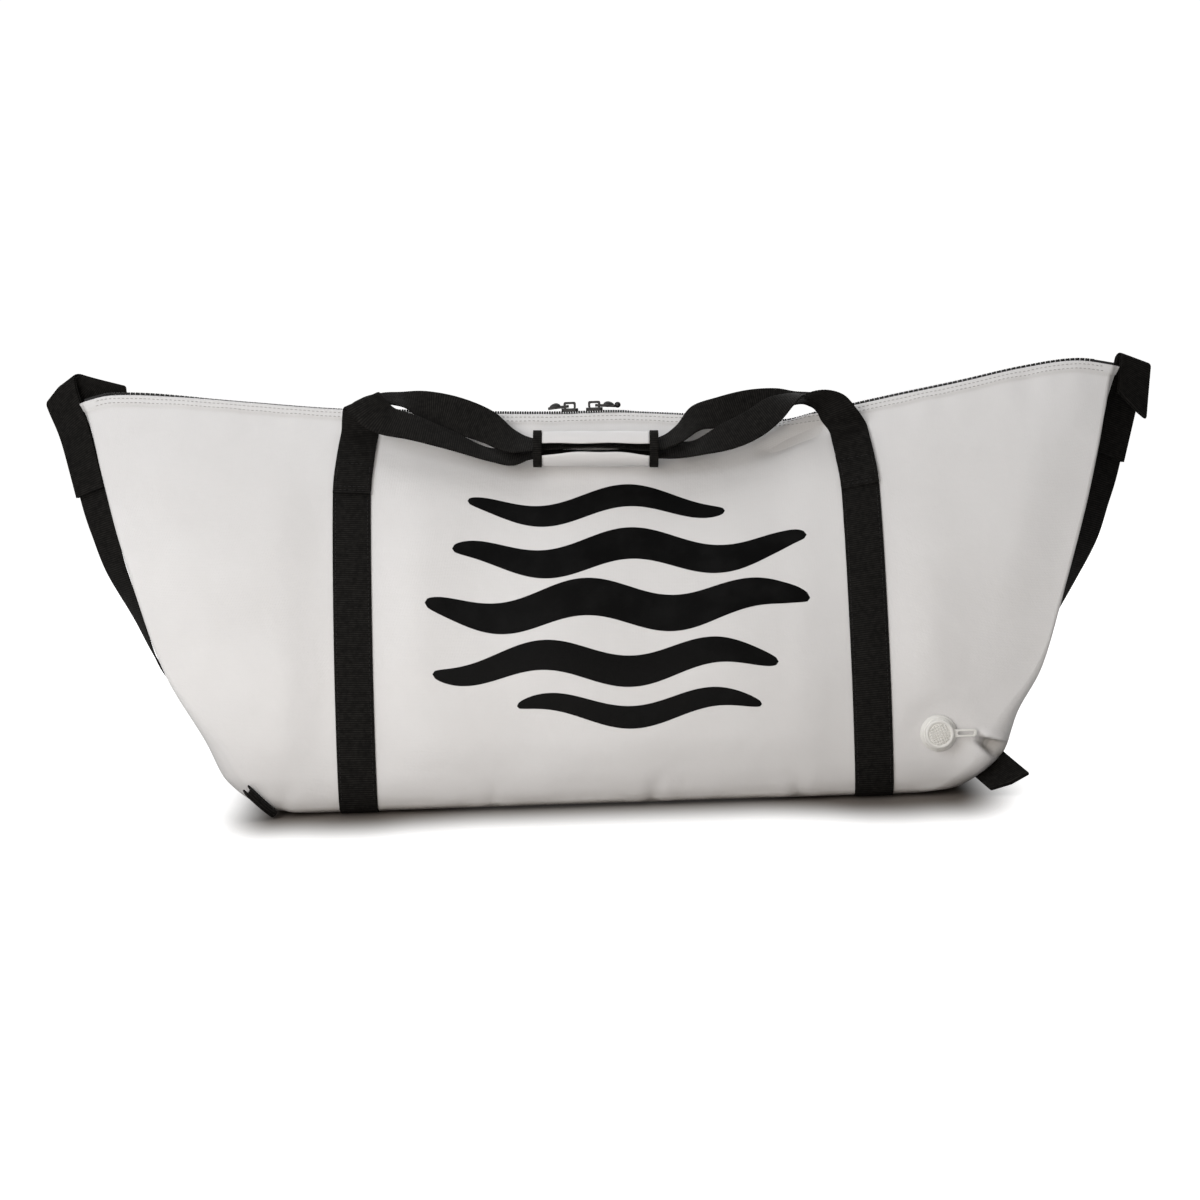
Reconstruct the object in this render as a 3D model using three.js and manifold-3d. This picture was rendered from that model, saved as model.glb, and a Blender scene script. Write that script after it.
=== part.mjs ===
// A fish kill bag: a long insulated tote of padded white vinyl that flares from a flat bottom to a zip along
// its top edge. Black webbing straps run round it, two webbing handles meet in a wrapped grip that lies
// against the front, each end has a strap with a grab loop, the lower front corners have webbing tabs, and a
// drain plug sits low on the front. Millimetres, +Z up, -Y front, origin on the floor under the middle.
import * as THREE from "three";
import { mergeVertices } from "three/addons/utils/BufferGeometryUtils.js";
import Module from "manifold-3d";

// Driving sizes
const WEBBING_WIDTH = 38;
const WEBBING_THICK = 2;
const GAP = 0.5; // room between a sewn-on piece and what it lies on
const PADDING = 9; // thickness of the insulated wall
const HEM_THICK = 2.5; // thickness of the wall at the zip
const HEM_SHARE = 0.86; // share of the height where the wall starts to thin towards the hem
const SLANT_FACTOR = 1.12; // a slanting wall is thicker when it is measured level
const END_WALL = 6; // length of the closed ends of the mouth
const FLOOR_SHARE = 0.023; // share of the height at the top of the padded bottom
const BASE_LIFT = WEBBING_THICK + GAP; // the bottom stands on the straps that pass under it
const STRAP_X = 254; // half the distance between the middles of the body straps
const STRAP_SHIFT = 3; // the straps are sewn a little right of the middle
const STRAP_TOP = 0.88; // share of the height where the body straps end, under the handles

// Outline of the body at rising shares of its height: half length, half depth, and squareness of its corners.
const BODY_LEVELS = table(
  ["share", "halfLength", "halfDepth", "square"],
  [
    [0, 330, 137, 10],
    [0.008, 346, 145, 12],
    [0.024, 359, 149, 13],
    [0.055, 376, 152, 14],
    [0.095, 391, 153, 14],
    [0.19, 410, 151, 13],
    [0.34, 446, 142, 12],
    [0.5, 471, 124, 12],
    [0.66, 491, 100, 12],
    [0.82, 508, 65, 12],
    [0.92, 518, 36, 12],
    [0.975, 524.5, 17, 12],
    [1, 529.5, 8, 12],
  ],
);
// Shares of the inside height, from the padded bottom to the hem, where the inner skin has a ring.
const INNER_LEVELS = [0, 0.012, 0.05, 0.1, 0.2, 0.36, 0.54, 0.72, 0.86, 0.95, 1];

// The hem along the zip: it sags between the ends and dips in a fold right of the middle.
const HEM_LINE = table(
  ["x", "height", "depth"],
  [
    [-532, 408, 0],
    [-500, 415, 0],
    [-430, 411, 0],
    [-358, 403, 0],
    [-276, 394, 0],
    [-180, 387, 0],
    [-98, 383, 0],
    [-36, 381, 0],
    [10, 381, 0],
    [60, 378, -1],
    [120, 373, -3],
    [186, 366, -6],
    [222, 373, -4],
    [264, 381, -1],
    [307, 389, 0],
    [369, 400, 0],
    [431, 412, 0],
    [487, 418, 0],
    [532, 411, 0],
  ],
);

// Zip: a tape across the mouth, a chain of teeth on it, and two sliders with hinged pulls
const TAPE = { halfWidth: 4.2, thick: 1.2, lift: -1.8, reach: 507 };
const CHAIN = { halfWidth: 3.4, thick: 3.4, lift: 0.9, reach: 507 };
const SLIDER = { length: 17, width: 11, corner: 3, plate: 3.2, seat: 0.5 };
const CROWN = { width: 3, eyeLength: 8, eyeHeight: 4.4, eyeCorner: 0.8, bar: 2.3, corner: 1.9, root: 0.4 };
const PULL = { length: 20, width: 7.8, corner: 2, thick: 2.6 };
const PULL_WINDOW = { start: PULL.thick / 2, end: 7.4, width: 4.2, corner: 0.6 };
const PULL_SLOT = { start: 10, end: 17, width: 2.6, corner: 1.2 };
const PULL_HINGE = 2.2; // from the slider's middle towards the pull's tip
const KNOT_RADIUS = 3.2;
// The rest angle is how far a lying pull slopes down to its tip.
const SLIDERS = [
  { name: "left", x: -31, way: -1, rest: 5, knot: false },
  { name: "right", x: -6, way: 1, rest: 4, knot: true },
];

// Carry handles. Their sewn ends lie over the body straps and come inward as they rise. In the free run, tilt
// is the turn of the webbing's width seen from the front, from +X towards +Z, lean its turn away from the
// viewer, and wide its width as a share of the webbing's, less where it is curled inside the grip.
const SEWN_RUN = table(
  ["share", "inward"],
  [
    [0.79, 0],
    [0.83, 1],
    [0.87, 3],
    [0.91, 6],
    [0.945, 9],
  ],
);
const HANDLE_COLUMNS = ["x", "y", "z", "tilt", "lean", "wide"];
const HANDLE_FRONT = table(HANDLE_COLUMNS, [
  [-242.5, -31, 389, 12, 0, 1],
  [-241.5, -33, 402, 20, 0, 1],
  [-239, -39, 404, 23, 4, 1],
  [-234, -44, 398, 30, 15, 1],
  [-226, -48, 390.5, 43, 28, 1],
  [-214, -52, 384, 61, 38, 1],
  [-189, -57, 377, 75, 50, 1],
  [-150, -59, 361.5, 82, 64, 1],
  [-111, -66, 345.5, 80, 77, 0.96],
  [-87, -69, 342.5, 76, 67, 0.88],
  [-69, -69, 346.6, 76, 78, 0.72],
  [-6, -69, 345.4, 82, 86, 0.7],
  [57, -69, 343.6, 88, 78, 0.72],
  [76, -69, 344.4, 95, 67, 0.88],
  [94, -66, 345.5, 104, 65, 0.97],
  [127, -62, 354, 118, 46, 1],
  [153, -55, 368, 126, 43, 1],
  [174, -50, 382, 126, 50, 1],
  [190, -46, 391, 126, 72, 1],
  [203, -42, 395, 180, 88, 1],
  [217, -38, 394, 216, 60, 1],
  [231, -36, 387, 207, 36, 1],
  [240, -36, 374, 197, 8, 1],
]);
const HANDLE_BACK = table(HANDLE_COLUMNS, [
  [-240, 22, 395, 2, -8, 1],
  [-230, 12, 400.5, -14, -40, 1],
  [-216, 3, 401.5, -42, -58, 1],
  [-200, -5, 399, -66, -52, 1],
  [-176, -15, 393.5, -88, -29, 1],
  [-147, -25, 386, -112, -20, 1],
  [-114, -39, 373, -115, -32, 1],
  [-89, -59, 358.5, -110, -60, 0.92],
  [-69, -68, 355, -104, -78, 0.72],
  [-6, -68.5, 352.4, -94, -86, 0.7],
  [57, -68, 351.6, -82, -78, 0.72],
  [77, -58, 358.5, -68, -60, 0.9],
  [98, -29.5, 373.5, -66, -33, 1],
  [126, -22, 378.5, -69, -24, 1],
  [154, -13, 383.5, -78, -24, 1],
  [178, -2, 386.5, -100, -42, 1],
  [196, 6, 389, -124, -64, 1],
  [212, 13, 389, -148, -62, 1],
  [228, 20, 384.5, -166, -40, 1],
  [240, 26, 376, -175, -14, 1],
]);
const HANDLE_STEPS = 3; // rows of webbing from one row of a handle to the next

// Grip wrapped round both handles, with a slit along its front and a bound edge at each end
const GRIP = { x: -6, y: -69, z: 349.3, length: 107, slope: 1.9 };
const GRIP_OVAL = { halfDepth: 20, halfHeight: 17.7, wall: 2.2, slit: 11 };
const BINDING = { width: 8.7, proud: 0.8, thick: 3.2, gap: 0.3 };

// End straps: height, how far the strap's middle stands out from the end of the body, its depth, and how far
// it has turned from lying on the end (0) to facing forward (90).
const END_STRAP = table(
  ["height", "out", "depth", "facing"],
  [
    [46, 1.7, 0, 0],
    [90, 4.4, 0, 4],
    [136, 9, 0, 9],
    [190, 14.6, 0, 16],
    [240, 19.5, 0, 32],
    [275, 18.8, 1.5, 43],
    [300, 18.2, 5, 50],
    [342, 17.8, 14.5, 56],
  ],
);
const END_STRAP_STEPS = 2;

// Grab loops: a doubled band from a seam on the end strap, flopped over a slanting fold, towards the viewer
// (over 1) or away (over -1). The end slant skews its closed end.
const LOOP_LIFT = 4.8; // from the strap's middle to the loop's middle
const LOOP_LAYER = 1.4; // from the loop's middle to the middle of each layer
const LOOP_RISE_STEPS = 7;
const LOOP_FOLD_STEPS = 6;
const LOOP_TURN_STEPS = 4;
const LOOPS = table(
  ["name", "side", "seam", "length", "fold", "slant", "angle", "radius", "over", "endSlant"],
  [
    ["left", -1, 317, 172, 104, 26, 145, 4.4, -1, 0],
    ["right", 1, 319, 158, 99, 0, 168, 4.4, 1, 26],
  ],
);

// Corner tabs: a short doubled band that stands out of the seam of each lower front corner, from a low to a
// high point of that seam.
const TAB_LAYER = 1.6;
const TABS = table(
  ["name", "low", "high", "off", "out", "way"],
  [
    ["left", [-338, -136, 7.5], [-362, -149, 33.5], 4.5, 12, [0, -1, 0]],
    ["right", [357.5, -129, 15], [387, -127, 39], -0.8, 27, [0.62, -0.66, -0.2]],
  ],
);

// Drain plug, low on the front near the right end: a flanged seat in the wall and a cap with a finger tab
const DRAIN = { x: 321, share: 0.15, hole: 11.4, reach: 16, sides: 24 };
const PROFILE = ["radius", "height"];
const DRAIN_SEAT = table(PROFILE, [
  [8.3, -11],
  [11, -11],
  [11, 0.4],
  [18, 0.4],
  [18, 2.4],
  [15.6, 4],
  [15.6, 6.5],
  [8.3, 6.5],
  [8.3, -11],
]);
const DRAIN_CAP = table(PROFILE, [
  [0, -4],
  [8, -4],
  [8, 6.8],
  [13.6, 6.8],
  [14.2, 7.6],
  [14.2, 12.4],
  [12.8, 13.8],
  [0, 13.8],
]);
const DRAIN_HOLE = table(PROFILE, [
  [0, -DRAIN.reach],
  [DRAIN.hole, -DRAIN.reach],
  [DRAIN.hole, DRAIN.reach],
  [0, DRAIN.reach],
]);
const FINGER_TAB = { start: 10, end: 37, width: 7.6, corner: 3.6, thick: 2.4, height: 7.4 };
const FINGER_SLOT = { start: 18, end: 34, width: 3.4, corner: 1.6 };

// Mesh density
const FRONT_COLUMNS = 36;
const END_COLUMNS = 8;
const ZIP_ROWS = 40;
const STRAP_COLUMNS = 3;
const BOTTOM_ROWS = 4;
const OVAL_SEGMENTS = 20;
const CORNER_SEGMENTS = 3;

const VINYL = { color: 0xdad7d2, roughness: 0.5, metalness: 0 };
const WEBBING = { color: 0x16151a, roughness: 0.8, metalness: 0 };
const ZIP_BLACK = { color: 0x111113, roughness: 0.5, metalness: 0 };
const SLIDER_METAL = { color: 0x141416, roughness: 0.4, metalness: 0.6 };
const PLASTIC = { color: 0xe2e0d8, roughness: 0.4, metalness: 0 };

const X_AXIS = new THREE.Vector3(1, 0, 0);
const Y_AXIS = new THREE.Vector3(0, 1, 0);
const Z_AXIS = new THREE.Vector3(0, 0, 1);
const HALF_WIDTH = WEBBING_WIDTH / 2;
const HALF_THICK = WEBBING_THICK / 2;

const radians = THREE.MathUtils.degToRad;
const { clamp, lerp } = THREE.MathUtils;

const wasm = await Module();
wasm.setup();
const bag = new THREE.Group();

// Rows of numbers as objects with named columns.
function table(columns, rows) {
  return rows.map((row) => Object.fromEntries(columns.map((column, i) => [column, row[i]])));
}

// A smooth curve through one column of a table against another.
function curveOf(rows, at, of) {
  const slope = (i) => {
    const before = rows[Math.max(0, i - 1)];
    const after = rows[Math.min(rows.length - 1, i + 1)];
    return (after[of] - before[of]) / (after[at] - before[at]);
  };
  return (value) => {
    let i = 0;
    while (i < rows.length - 2 && value > rows[i + 1][at]) i += 1;
    const width = rows[i + 1][at] - rows[i][at];
    const t = clamp((value - rows[i][at]) / width, 0, 1);
    const ease = t * t * (3 - 2 * t);
    const bend = t * (1 - t) * ((1 - t) * slope(i) - t * slope(i + 1)) * width;
    return lerp(rows[i][of], rows[i + 1][of], ease) + bend;
  };
}

function addMesh(name, geometry, finish) {
  const mesh = new THREE.Mesh(geometry, new THREE.MeshStandardMaterial(finish));
  mesh.name = name;
  bag.add(mesh);
  return mesh;
}

function geometryOf(positions, index) {
  const geometry = new THREE.BufferGeometry();
  geometry.setAttribute("position", new THREE.Float32BufferAttribute(positions, 3));
  geometry.setIndex(index);
  return geometry;
}

function solidOf(geometry) {
  const bare = geometry.clone();
  bare.deleteAttribute("normal");
  bare.deleteAttribute("uv");
  const merged = mergeVertices(bare, 1e-3);
  return new wasm.Manifold(
    new wasm.Mesh({
      numProp: 3,
      vertProperties: merged.attributes.position.array,
      triVerts: new Uint32Array(merged.index.array),
    }),
  );
}

function geometryFrom(solid) {
  const mesh = solid.getMesh();
  return geometryOf(Array.from(mesh.vertProperties), Array.from(mesh.triVerts));
}

// A solid sheet from a grid of points on its middle surface.
function sheetOf(grid, thick) {
  const rows = grid.length;
  const columns = grid[0].length;
  const positions = [];
  for (let r = 0; r < rows; r += 1) {
    for (let c = 0; c < columns; c += 1) {
      const along = grid[Math.min(rows - 1, r + 1)][c].clone().sub(grid[Math.max(0, r - 1)][c]);
      const across = grid[r][Math.min(columns - 1, c + 1)].clone().sub(grid[r][Math.max(0, c - 1)]);
      const half = across.cross(along).setLength(thick / 2);
      positions.push(...grid[r][c].clone().add(half), ...grid[r][c].clone().sub(half));
    }
  }
  const upper = (r, c) => (r * columns + c) * 2;
  const lower = (r, c) => upper(r, c) + 1;
  const index = [];
  const quad = (a, b, c, d) => index.push(a, b, c, a, c, d);
  const lastRow = rows - 1;
  const lastColumn = columns - 1;
  for (let r = 0; r < lastRow; r += 1) {
    for (let c = 0; c < lastColumn; c += 1) {
      quad(upper(r, c), upper(r, c + 1), upper(r + 1, c + 1), upper(r + 1, c));
      quad(lower(r, c), lower(r + 1, c), lower(r + 1, c + 1), lower(r, c + 1));
    }
    quad(upper(r, 0), upper(r + 1, 0), lower(r + 1, 0), lower(r, 0));
    quad(upper(r + 1, lastColumn), upper(r, lastColumn), lower(r, lastColumn), lower(r + 1, lastColumn));
  }
  for (let c = 0; c < lastColumn; c += 1) {
    quad(upper(0, c + 1), upper(0, c), lower(0, c), lower(0, c + 1));
    quad(upper(lastRow, c), upper(lastRow, c + 1), lower(lastRow, c + 1), lower(lastRow, c));
  }
  return geometryOf(positions, index);
}

// A row of a band across from one edge point to the other, with a point on its middle line.
function bandRow([start, end]) {
  return [start, start.clone().lerp(end, 0.5), end];
}

// Smooth pairs of edge points through the given pairs.
function smoothPairs(pairs, steps) {
  const edges = [0, 1].map((edge) => new THREE.CatmullRomCurve3(pairs.map((pair) => pair[edge])));
  const count = (pairs.length - 1) * steps;
  return Array.from({ length: count + 1 }, (_, i) => edges.map((edge) => edge.getPoint(i / count)));
}

// Skin of the body
const halfLength = curveOf(BODY_LEVELS, "share", "halfLength");
const halfDepth = curveOf(BODY_LEVELS, "share", "halfDepth");
const squareness = curveOf(BODY_LEVELS, "share", "square");
const hemHeight = curveOf(HEM_LINE, "x", "height");
const hemDepth = curveOf(HEM_LINE, "x", "depth");
const topHalfLength = halfLength(1);
const NO_INSET = { length: 0, depth: 0 };

function rounded(ratio, power) {
  return Math.max(0, 1 - Math.abs(ratio) ** power) ** (1 / power);
}

// A point of the skin, from its place on the outline at that share of the height.
function skinPoint(ratioX, ratioY, share, inset = NO_INSET) {
  const hemX = ratioX * topHalfLength;
  return new THREE.Vector3(
    ratioX * (halfLength(share) - inset.length),
    ratioY * (halfDepth(share) - inset.depth) + hemDepth(hemX) * share ** 4,
    BASE_LIFT + share * (hemHeight(hemX) - BASE_LIFT),
  );
}

// The outer skin of the front (side -1) or back (side 1) at a given x.
function facePoint(x, share, side) {
  const ratio = x / halfLength(share);
  return skinPoint(ratio, side * rounded(ratio, squareness(share)), share);
}

function faceNormal(x, share, side) {
  const step = 1;
  const shareStep = 0.004;
  const level = facePoint(x + step, share, side).sub(facePoint(x - step, share, side));
  const rise = facePoint(x, Math.min(1, share + shareStep), side);
  rise.sub(facePoint(x, Math.max(0, share - shareStep), side));
  return level.cross(rise).multiplyScalar(-side).normalize();
}

// The outer skin of the left (side -1) or right (side 1) end at a given depth.
function endPoint(y, share, side) {
  const ratio = y / halfDepth(share);
  return skinPoint(side * rounded(ratio, squareness(share)), ratio, share);
}

// The share of the height that a height has at the bag's end.
function endShare(height, side) {
  return (height - BASE_LIFT) / (hemHeight(side * topHalfLength) - BASE_LIFT);
}

// An outline of the body, counter-clockwise seen from above.
function bodyRing(share, inset) {
  const power = squareness(share);
  const corner = 2 ** (-1 / power);
  const ring = [];
  for (const half of [1, -1]) {
    for (let i = 0; i < FRONT_COLUMNS; i += 1) {
      const ratio = half * corner * ((2 * i) / FRONT_COLUMNS - 1);
      ring.push(skinPoint(ratio, -half * rounded(ratio, power), share, inset));
    }
    for (let i = 0; i < END_COLUMNS; i += 1) {
      const ratio = half * corner * ((2 * i) / END_COLUMNS - 1);
      ring.push(skinPoint(half * rounded(ratio, power), ratio, share, inset));
    }
  }
  return ring;
}

function wallInset(share) {
  const towardsHem = clamp((share - HEM_SHARE) / (1 - HEM_SHARE), 0, 1);
  return {
    length: lerp(PADDING * SLANT_FACTOR, END_WALL, towardsHem),
    depth: lerp(PADDING * SLANT_FACTOR, HEM_THICK, towardsHem),
  };
}

// The hollow body: outer rings from the bottom up, inner rings back down, and a cap at each end of them.
function bodyGeometry() {
  const innerShares = INNER_LEVELS.map((level) => lerp(FLOOR_SHARE, 1, level)).reverse();
  const rings = [
    ...BODY_LEVELS.map((level) => bodyRing(level.share, NO_INSET)),
    ...innerShares.map((share) => bodyRing(share, wallInset(share))),
  ];
  const columns = rings[0].length;
  const positions = rings.flat().flatMap((point) => [...point]);
  const index = [];
  for (let k = 0; k < rings.length - 1; k += 1) {
    for (let j = 0; j < columns; j += 1) {
      const here = k * columns + j;
      const next = k * columns + ((j + 1) % columns);
      index.push(here, next, next + columns, here, next + columns, here + columns);
    }
  }
  const floor = (rings.length - 1) * columns;
  const outline = (ring) => ring.map((point) => new THREE.Vector2(point.x, point.y));
  for (const [a, b, c] of THREE.ShapeUtils.triangulateShape(outline(rings[0]), [])) {
    index.push(a, c, b);
  }
  for (const [a, b, c] of THREE.ShapeUtils.triangulateShape(outline(rings.at(-1)), [])) {
    index.push(floor + a, floor + b, floor + c);
  }
  return geometryOf(positions, index);
}

// A turned piece about +Z.
function turned(profile, sides) {
  const points = profile.map((row) => new THREE.Vector2(row.radius, row.height));
  return new THREE.LatheGeometry(points, sides).rotateX(Math.PI / 2);
}

// A rounded outline along X from its start to its end, about a level line.
function roundedOutline(path, { start, end, width, corner }, level = 0) {
  const half = width / 2;
  const quarter = Math.PI / 2;
  path.absarc(end - corner, level + half - corner, corner, 0, quarter);
  path.absarc(start + corner, level + half - corner, corner, quarter, 2 * quarter);
  path.absarc(start + corner, level + corner - half, corner, 2 * quarter, 3 * quarter);
  path.absarc(end - corner, level + corner - half, corner, 3 * quarter, 4 * quarter);
  path.closePath();
  return path;
}

function extruded(shape, depth, curveSegments) {
  return new THREE.ExtrudeGeometry(shape, { depth, bevelEnabled: false, curveSegments });
}

// A flat plate in the XY plane with holes.
function plateGeometry(outline, thick, holes) {
  const shape = roundedOutline(new THREE.Shape(), outline);
  shape.holes = holes.map((hole) => roundedOutline(new THREE.Path(), hole));
  return extruded(shape, thick, CORNER_SEGMENTS);
}

// The frame of the drain: its axis along the wall's outward normal, its finger tab along the bag.
function drainFrame() {
  const centre = facePoint(DRAIN.x, DRAIN.share, -1);
  const axis = faceNormal(DRAIN.x, DRAIN.share, -1);
  const along = X_AXIS.clone().addScaledVector(axis, -axis.x).normalize();
  const side = axis.clone().cross(along);
  return new THREE.Matrix4().makeBasis(along, side, axis).setPosition(centre);
}

function addBodyAndDrain() {
  const frame = drainFrame();
  const hole = solidOf(turned(DRAIN_HOLE, DRAIN.sides).applyMatrix4(frame));
  addMesh("bag_body", geometryFrom(solidOf(bodyGeometry()).subtract(hole)), VINYL);
  const finger = plateGeometry(FINGER_TAB, FINGER_TAB.thick, [FINGER_SLOT]);
  finger.translate(0, 0, FINGER_TAB.height);
  const cap = solidOf(turned(DRAIN_CAP, DRAIN.sides)).add(solidOf(finger));
  addMesh("drain_seat", turned(DRAIN_SEAT, DRAIN.sides).applyMatrix4(frame), PLASTIC);
  addMesh("drain_cap", geometryFrom(cap).applyMatrix4(frame), PLASTIC);
}

function zipStrip(strip) {
  const grid = [];
  for (let i = 0; i <= ZIP_ROWS; i += 1) {
    const x = lerp(-strip.reach, strip.reach, i / ZIP_ROWS);
    const z = hemHeight(x) + strip.lift;
    const y = hemDepth(x);
    grid.push([-1, 1].map((way) => new THREE.Vector3(x, y + way * strip.halfWidth, z)));
  }
  return sheetOf(grid, strip.thick);
}

// A slider: a plate on the teeth with an upright eye on it.
function sliderGeometry() {
  const halfPlate = SLIDER.length / 2;
  const plate = { start: -halfPlate, end: halfPlate, width: SLIDER.width, corner: SLIDER.corner };
  const halfEye = CROWN.eyeLength / 2;
  const halfCrown = halfEye + CROWN.bar;
  const bottom = SLIDER.plate - CROWN.root;
  const height = CROWN.root + CROWN.eyeHeight + CROWN.bar;
  const crown = { start: -halfCrown, end: halfCrown, width: height, corner: CROWN.corner };
  const eye = { start: -halfEye, end: halfEye, width: CROWN.eyeHeight, corner: CROWN.eyeCorner };
  const shape = roundedOutline(new THREE.Shape(), crown, bottom + height / 2);
  shape.holes = [roundedOutline(new THREE.Path(), eye, SLIDER.plate + CROWN.eyeHeight / 2)];
  const arch = extruded(shape, CROWN.width, CORNER_SEGMENTS).translate(0, 0, -CROWN.width / 2);
  arch.applyMatrix4(new THREE.Matrix4().makeBasis(X_AXIS, Z_AXIS, Y_AXIS.clone().negate()));
  return geometryFrom(solidOf(plateGeometry(plate, SLIDER.plate, [])).add(solidOf(arch)));
}

// A pull along +X from its hinge, with a window for the slider's eye.
function pullGeometry(knot) {
  const half = PULL.thick / 2;
  const tab = { start: -half, end: PULL.length, width: PULL.width, corner: PULL.corner };
  const plate = plateGeometry(tab, PULL.thick, [PULL_WINDOW, PULL_SLOT]).translate(0, 0, -half);
  if (!knot) return plate;
  const ball = new THREE.SphereGeometry(KNOT_RADIUS, 12, 8).translate(PULL.length + KNOT_RADIUS / 2, 0, half);
  return geometryFrom(solidOf(plate).add(solidOf(ball)));
}

function addZip() {
  addMesh("zip_tape", zipStrip(TAPE), ZIP_BLACK);
  addMesh("zip_chain", zipStrip(CHAIN), ZIP_BLACK);
  const chainTop = CHAIN.lift + CHAIN.thick / 2;
  for (const { name, x, way, rest, knot } of SLIDERS) {
    const slider = addMesh(`zip_slider_${name}`, sliderGeometry(), SLIDER_METAL);
    slider.position.set(x, hemDepth(x), hemHeight(x) + chainTop + SLIDER.seat);
    const pull = addMesh(`zip_pull_${name}`, pullGeometry(knot), SLIDER_METAL);
    pull.position.copy(slider.position);
    pull.position.x += way * PULL_HINGE;
    pull.position.z += SLIDER.plate + CROWN.eyeHeight / 2;
    pull.rotation.set(0, way * radians(rest), way < 0 ? Math.PI : 0);
  }
}

// A body strap, from under the front handle down the front, under the bottom and up the back.
function bodyStrapGrid(x) {
  const columns = Array.from({ length: STRAP_COLUMNS }, (_, c) => {
    return x + lerp(-HALF_WIDTH, HALF_WIDTH, c / (STRAP_COLUMNS - 1));
  });
  const shares = BODY_LEVELS.map((level) => level.share).filter((share) => share > 0 && share < STRAP_TOP);
  shares.push(STRAP_TOP);
  const lift = GAP + HALF_THICK;
  const faceRow = (share, side) => {
    return columns.map((at) => facePoint(at, share, side).addScaledVector(faceNormal(at, share, side), lift));
  };
  const front = shares.map((share) => faceRow(share, -1)).reverse();
  const back = shares.map((share) => faceRow(share, 1));
  const bottom = [];
  for (let i = 0; i <= BOTTOM_ROWS; i += 1) {
    const way = lerp(-1, 1, i / BOTTOM_ROWS);
    bottom.push(columns.map((at) => new THREE.Vector3(at, way * facePoint(at, 0, 1).y, HALF_THICK)));
  }
  return [...front, ...bottom, ...back];
}

// The sewn end of a handle: pairs of outer and inner edge points over a body strap, from the seam up.
function sewnPairs(side, face) {
  const lift = GAP * 2 + WEBBING_THICK + HALF_THICK;
  return SEWN_RUN.map(({ share, inward }) => {
    const middle = STRAP_SHIFT + side * (STRAP_X - inward);
    return [1, -1].map((way) => {
      const at = middle + side * way * HALF_WIDTH;
      return facePoint(at, share, face).addScaledVector(faceNormal(at, share, face), lift);
    });
  });
}

function freePairs(rows) {
  return rows.map(({ x, y, z, tilt, lean, wide }) => {
    const level = Math.cos(radians(lean));
    const half = new THREE.Vector3(
      Math.cos(radians(tilt)) * level,
      Math.sin(radians(lean)),
      Math.sin(radians(tilt)) * level,
    ).multiplyScalar(wide * HALF_WIDTH);
    return [-1, 1].map((way) => new THREE.Vector3(x, y, z).addScaledVector(half, way));
  });
}

function handleGeometry(rows, face) {
  const pairs = [...sewnPairs(-1, face), ...freePairs(rows), ...sewnPairs(1, face).reverse()];
  return sheetOf(smoothPairs(pairs, HANDLE_STEPS), WEBBING_THICK);
}

function addStrapsAndHandles() {
  addMesh("body_strap_left", sheetOf(bodyStrapGrid(STRAP_SHIFT - STRAP_X), WEBBING_THICK), WEBBING);
  addMesh("body_strap_right", sheetOf(bodyStrapGrid(STRAP_SHIFT + STRAP_X), WEBBING_THICK), WEBBING);
  addMesh("handle_front", handleGeometry(HANDLE_FRONT, -1), WEBBING);
  addMesh("handle_back", handleGeometry(HANDLE_BACK, 1), WEBBING);
}

// A length of oval tube along X about its middle, open along its front where it has a slit.
function ovalTube(length, { halfDepth: deep, halfHeight: high, wall, slit }) {
  const shape = new THREE.Shape();
  if (slit) {
    const halfSlit = Math.asin(slit / 2 / high);
    const start = Math.PI + halfSlit;
    const end = 3 * Math.PI - halfSlit;
    shape.absellipse(0, 0, deep, high, start, end, false);
    shape.absellipse(0, 0, deep - wall, high - wall, end, start, true);
    shape.closePath();
  } else {
    shape.absellipse(0, 0, deep, high, 0, 2 * Math.PI, false);
    shape.holes = [new THREE.Path().absellipse(0, 0, deep - wall, high - wall, 0, 2 * Math.PI, true)];
  }
  const tube = extruded(shape, length, OVAL_SEGMENTS).translate(0, 0, -length / 2);
  return tube.applyMatrix4(new THREE.Matrix4().makeBasis(Y_AXIS, Z_AXIS, X_AXIS));
}

function addGrip() {
  const bound = new THREE.Group();
  bound.position.set(GRIP.x, GRIP.y, GRIP.z);
  bound.rotation.y = radians(GRIP.slope);
  bag.add(bound);
  const wrap = ovalTube(GRIP.length, GRIP_OVAL);
  bound.add(addMesh("grip_wrap", wrap, VINYL));
  const ring = {
    halfDepth: GRIP_OVAL.halfDepth + BINDING.proud,
    halfHeight: GRIP_OVAL.halfHeight + BINDING.proud,
    wall: BINDING.thick,
    slit: 0,
  };
  for (const [name, way] of [["left", -1], ["right", 1]]) {
    const binding = addMesh(`grip_binding_${name}`, ovalTube(BINDING.width, ring), WEBBING);
    binding.position.x = way * (GRIP.length / 2 + BINDING.gap + BINDING.width / 2);
    bound.add(binding);
  }
}

// The end strap's middle line and its half width vector at a row of its table.
function endStrapRow({ height, out, depth, facing }, side) {
  const middle = endPoint(0, endShare(height, side), side);
  middle.x += side * out;
  middle.y += depth;
  return { middle, facing: radians(facing) };
}

function endStrapPairs(side) {
  const rows = END_STRAP.map((row) => endStrapRow(row, side));
  return rows.map(({ middle, facing }, i) => {
    const rise = rows[Math.min(rows.length - 1, i + 1)].middle.clone();
    rise.sub(rows[Math.max(0, i - 1)].middle).normalize();
    const half = acrossStrap(rise, facing, side).multiplyScalar(HALF_WIDTH);
    return [middle.clone().sub(half), middle.clone().add(half)];
  });
}

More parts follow.
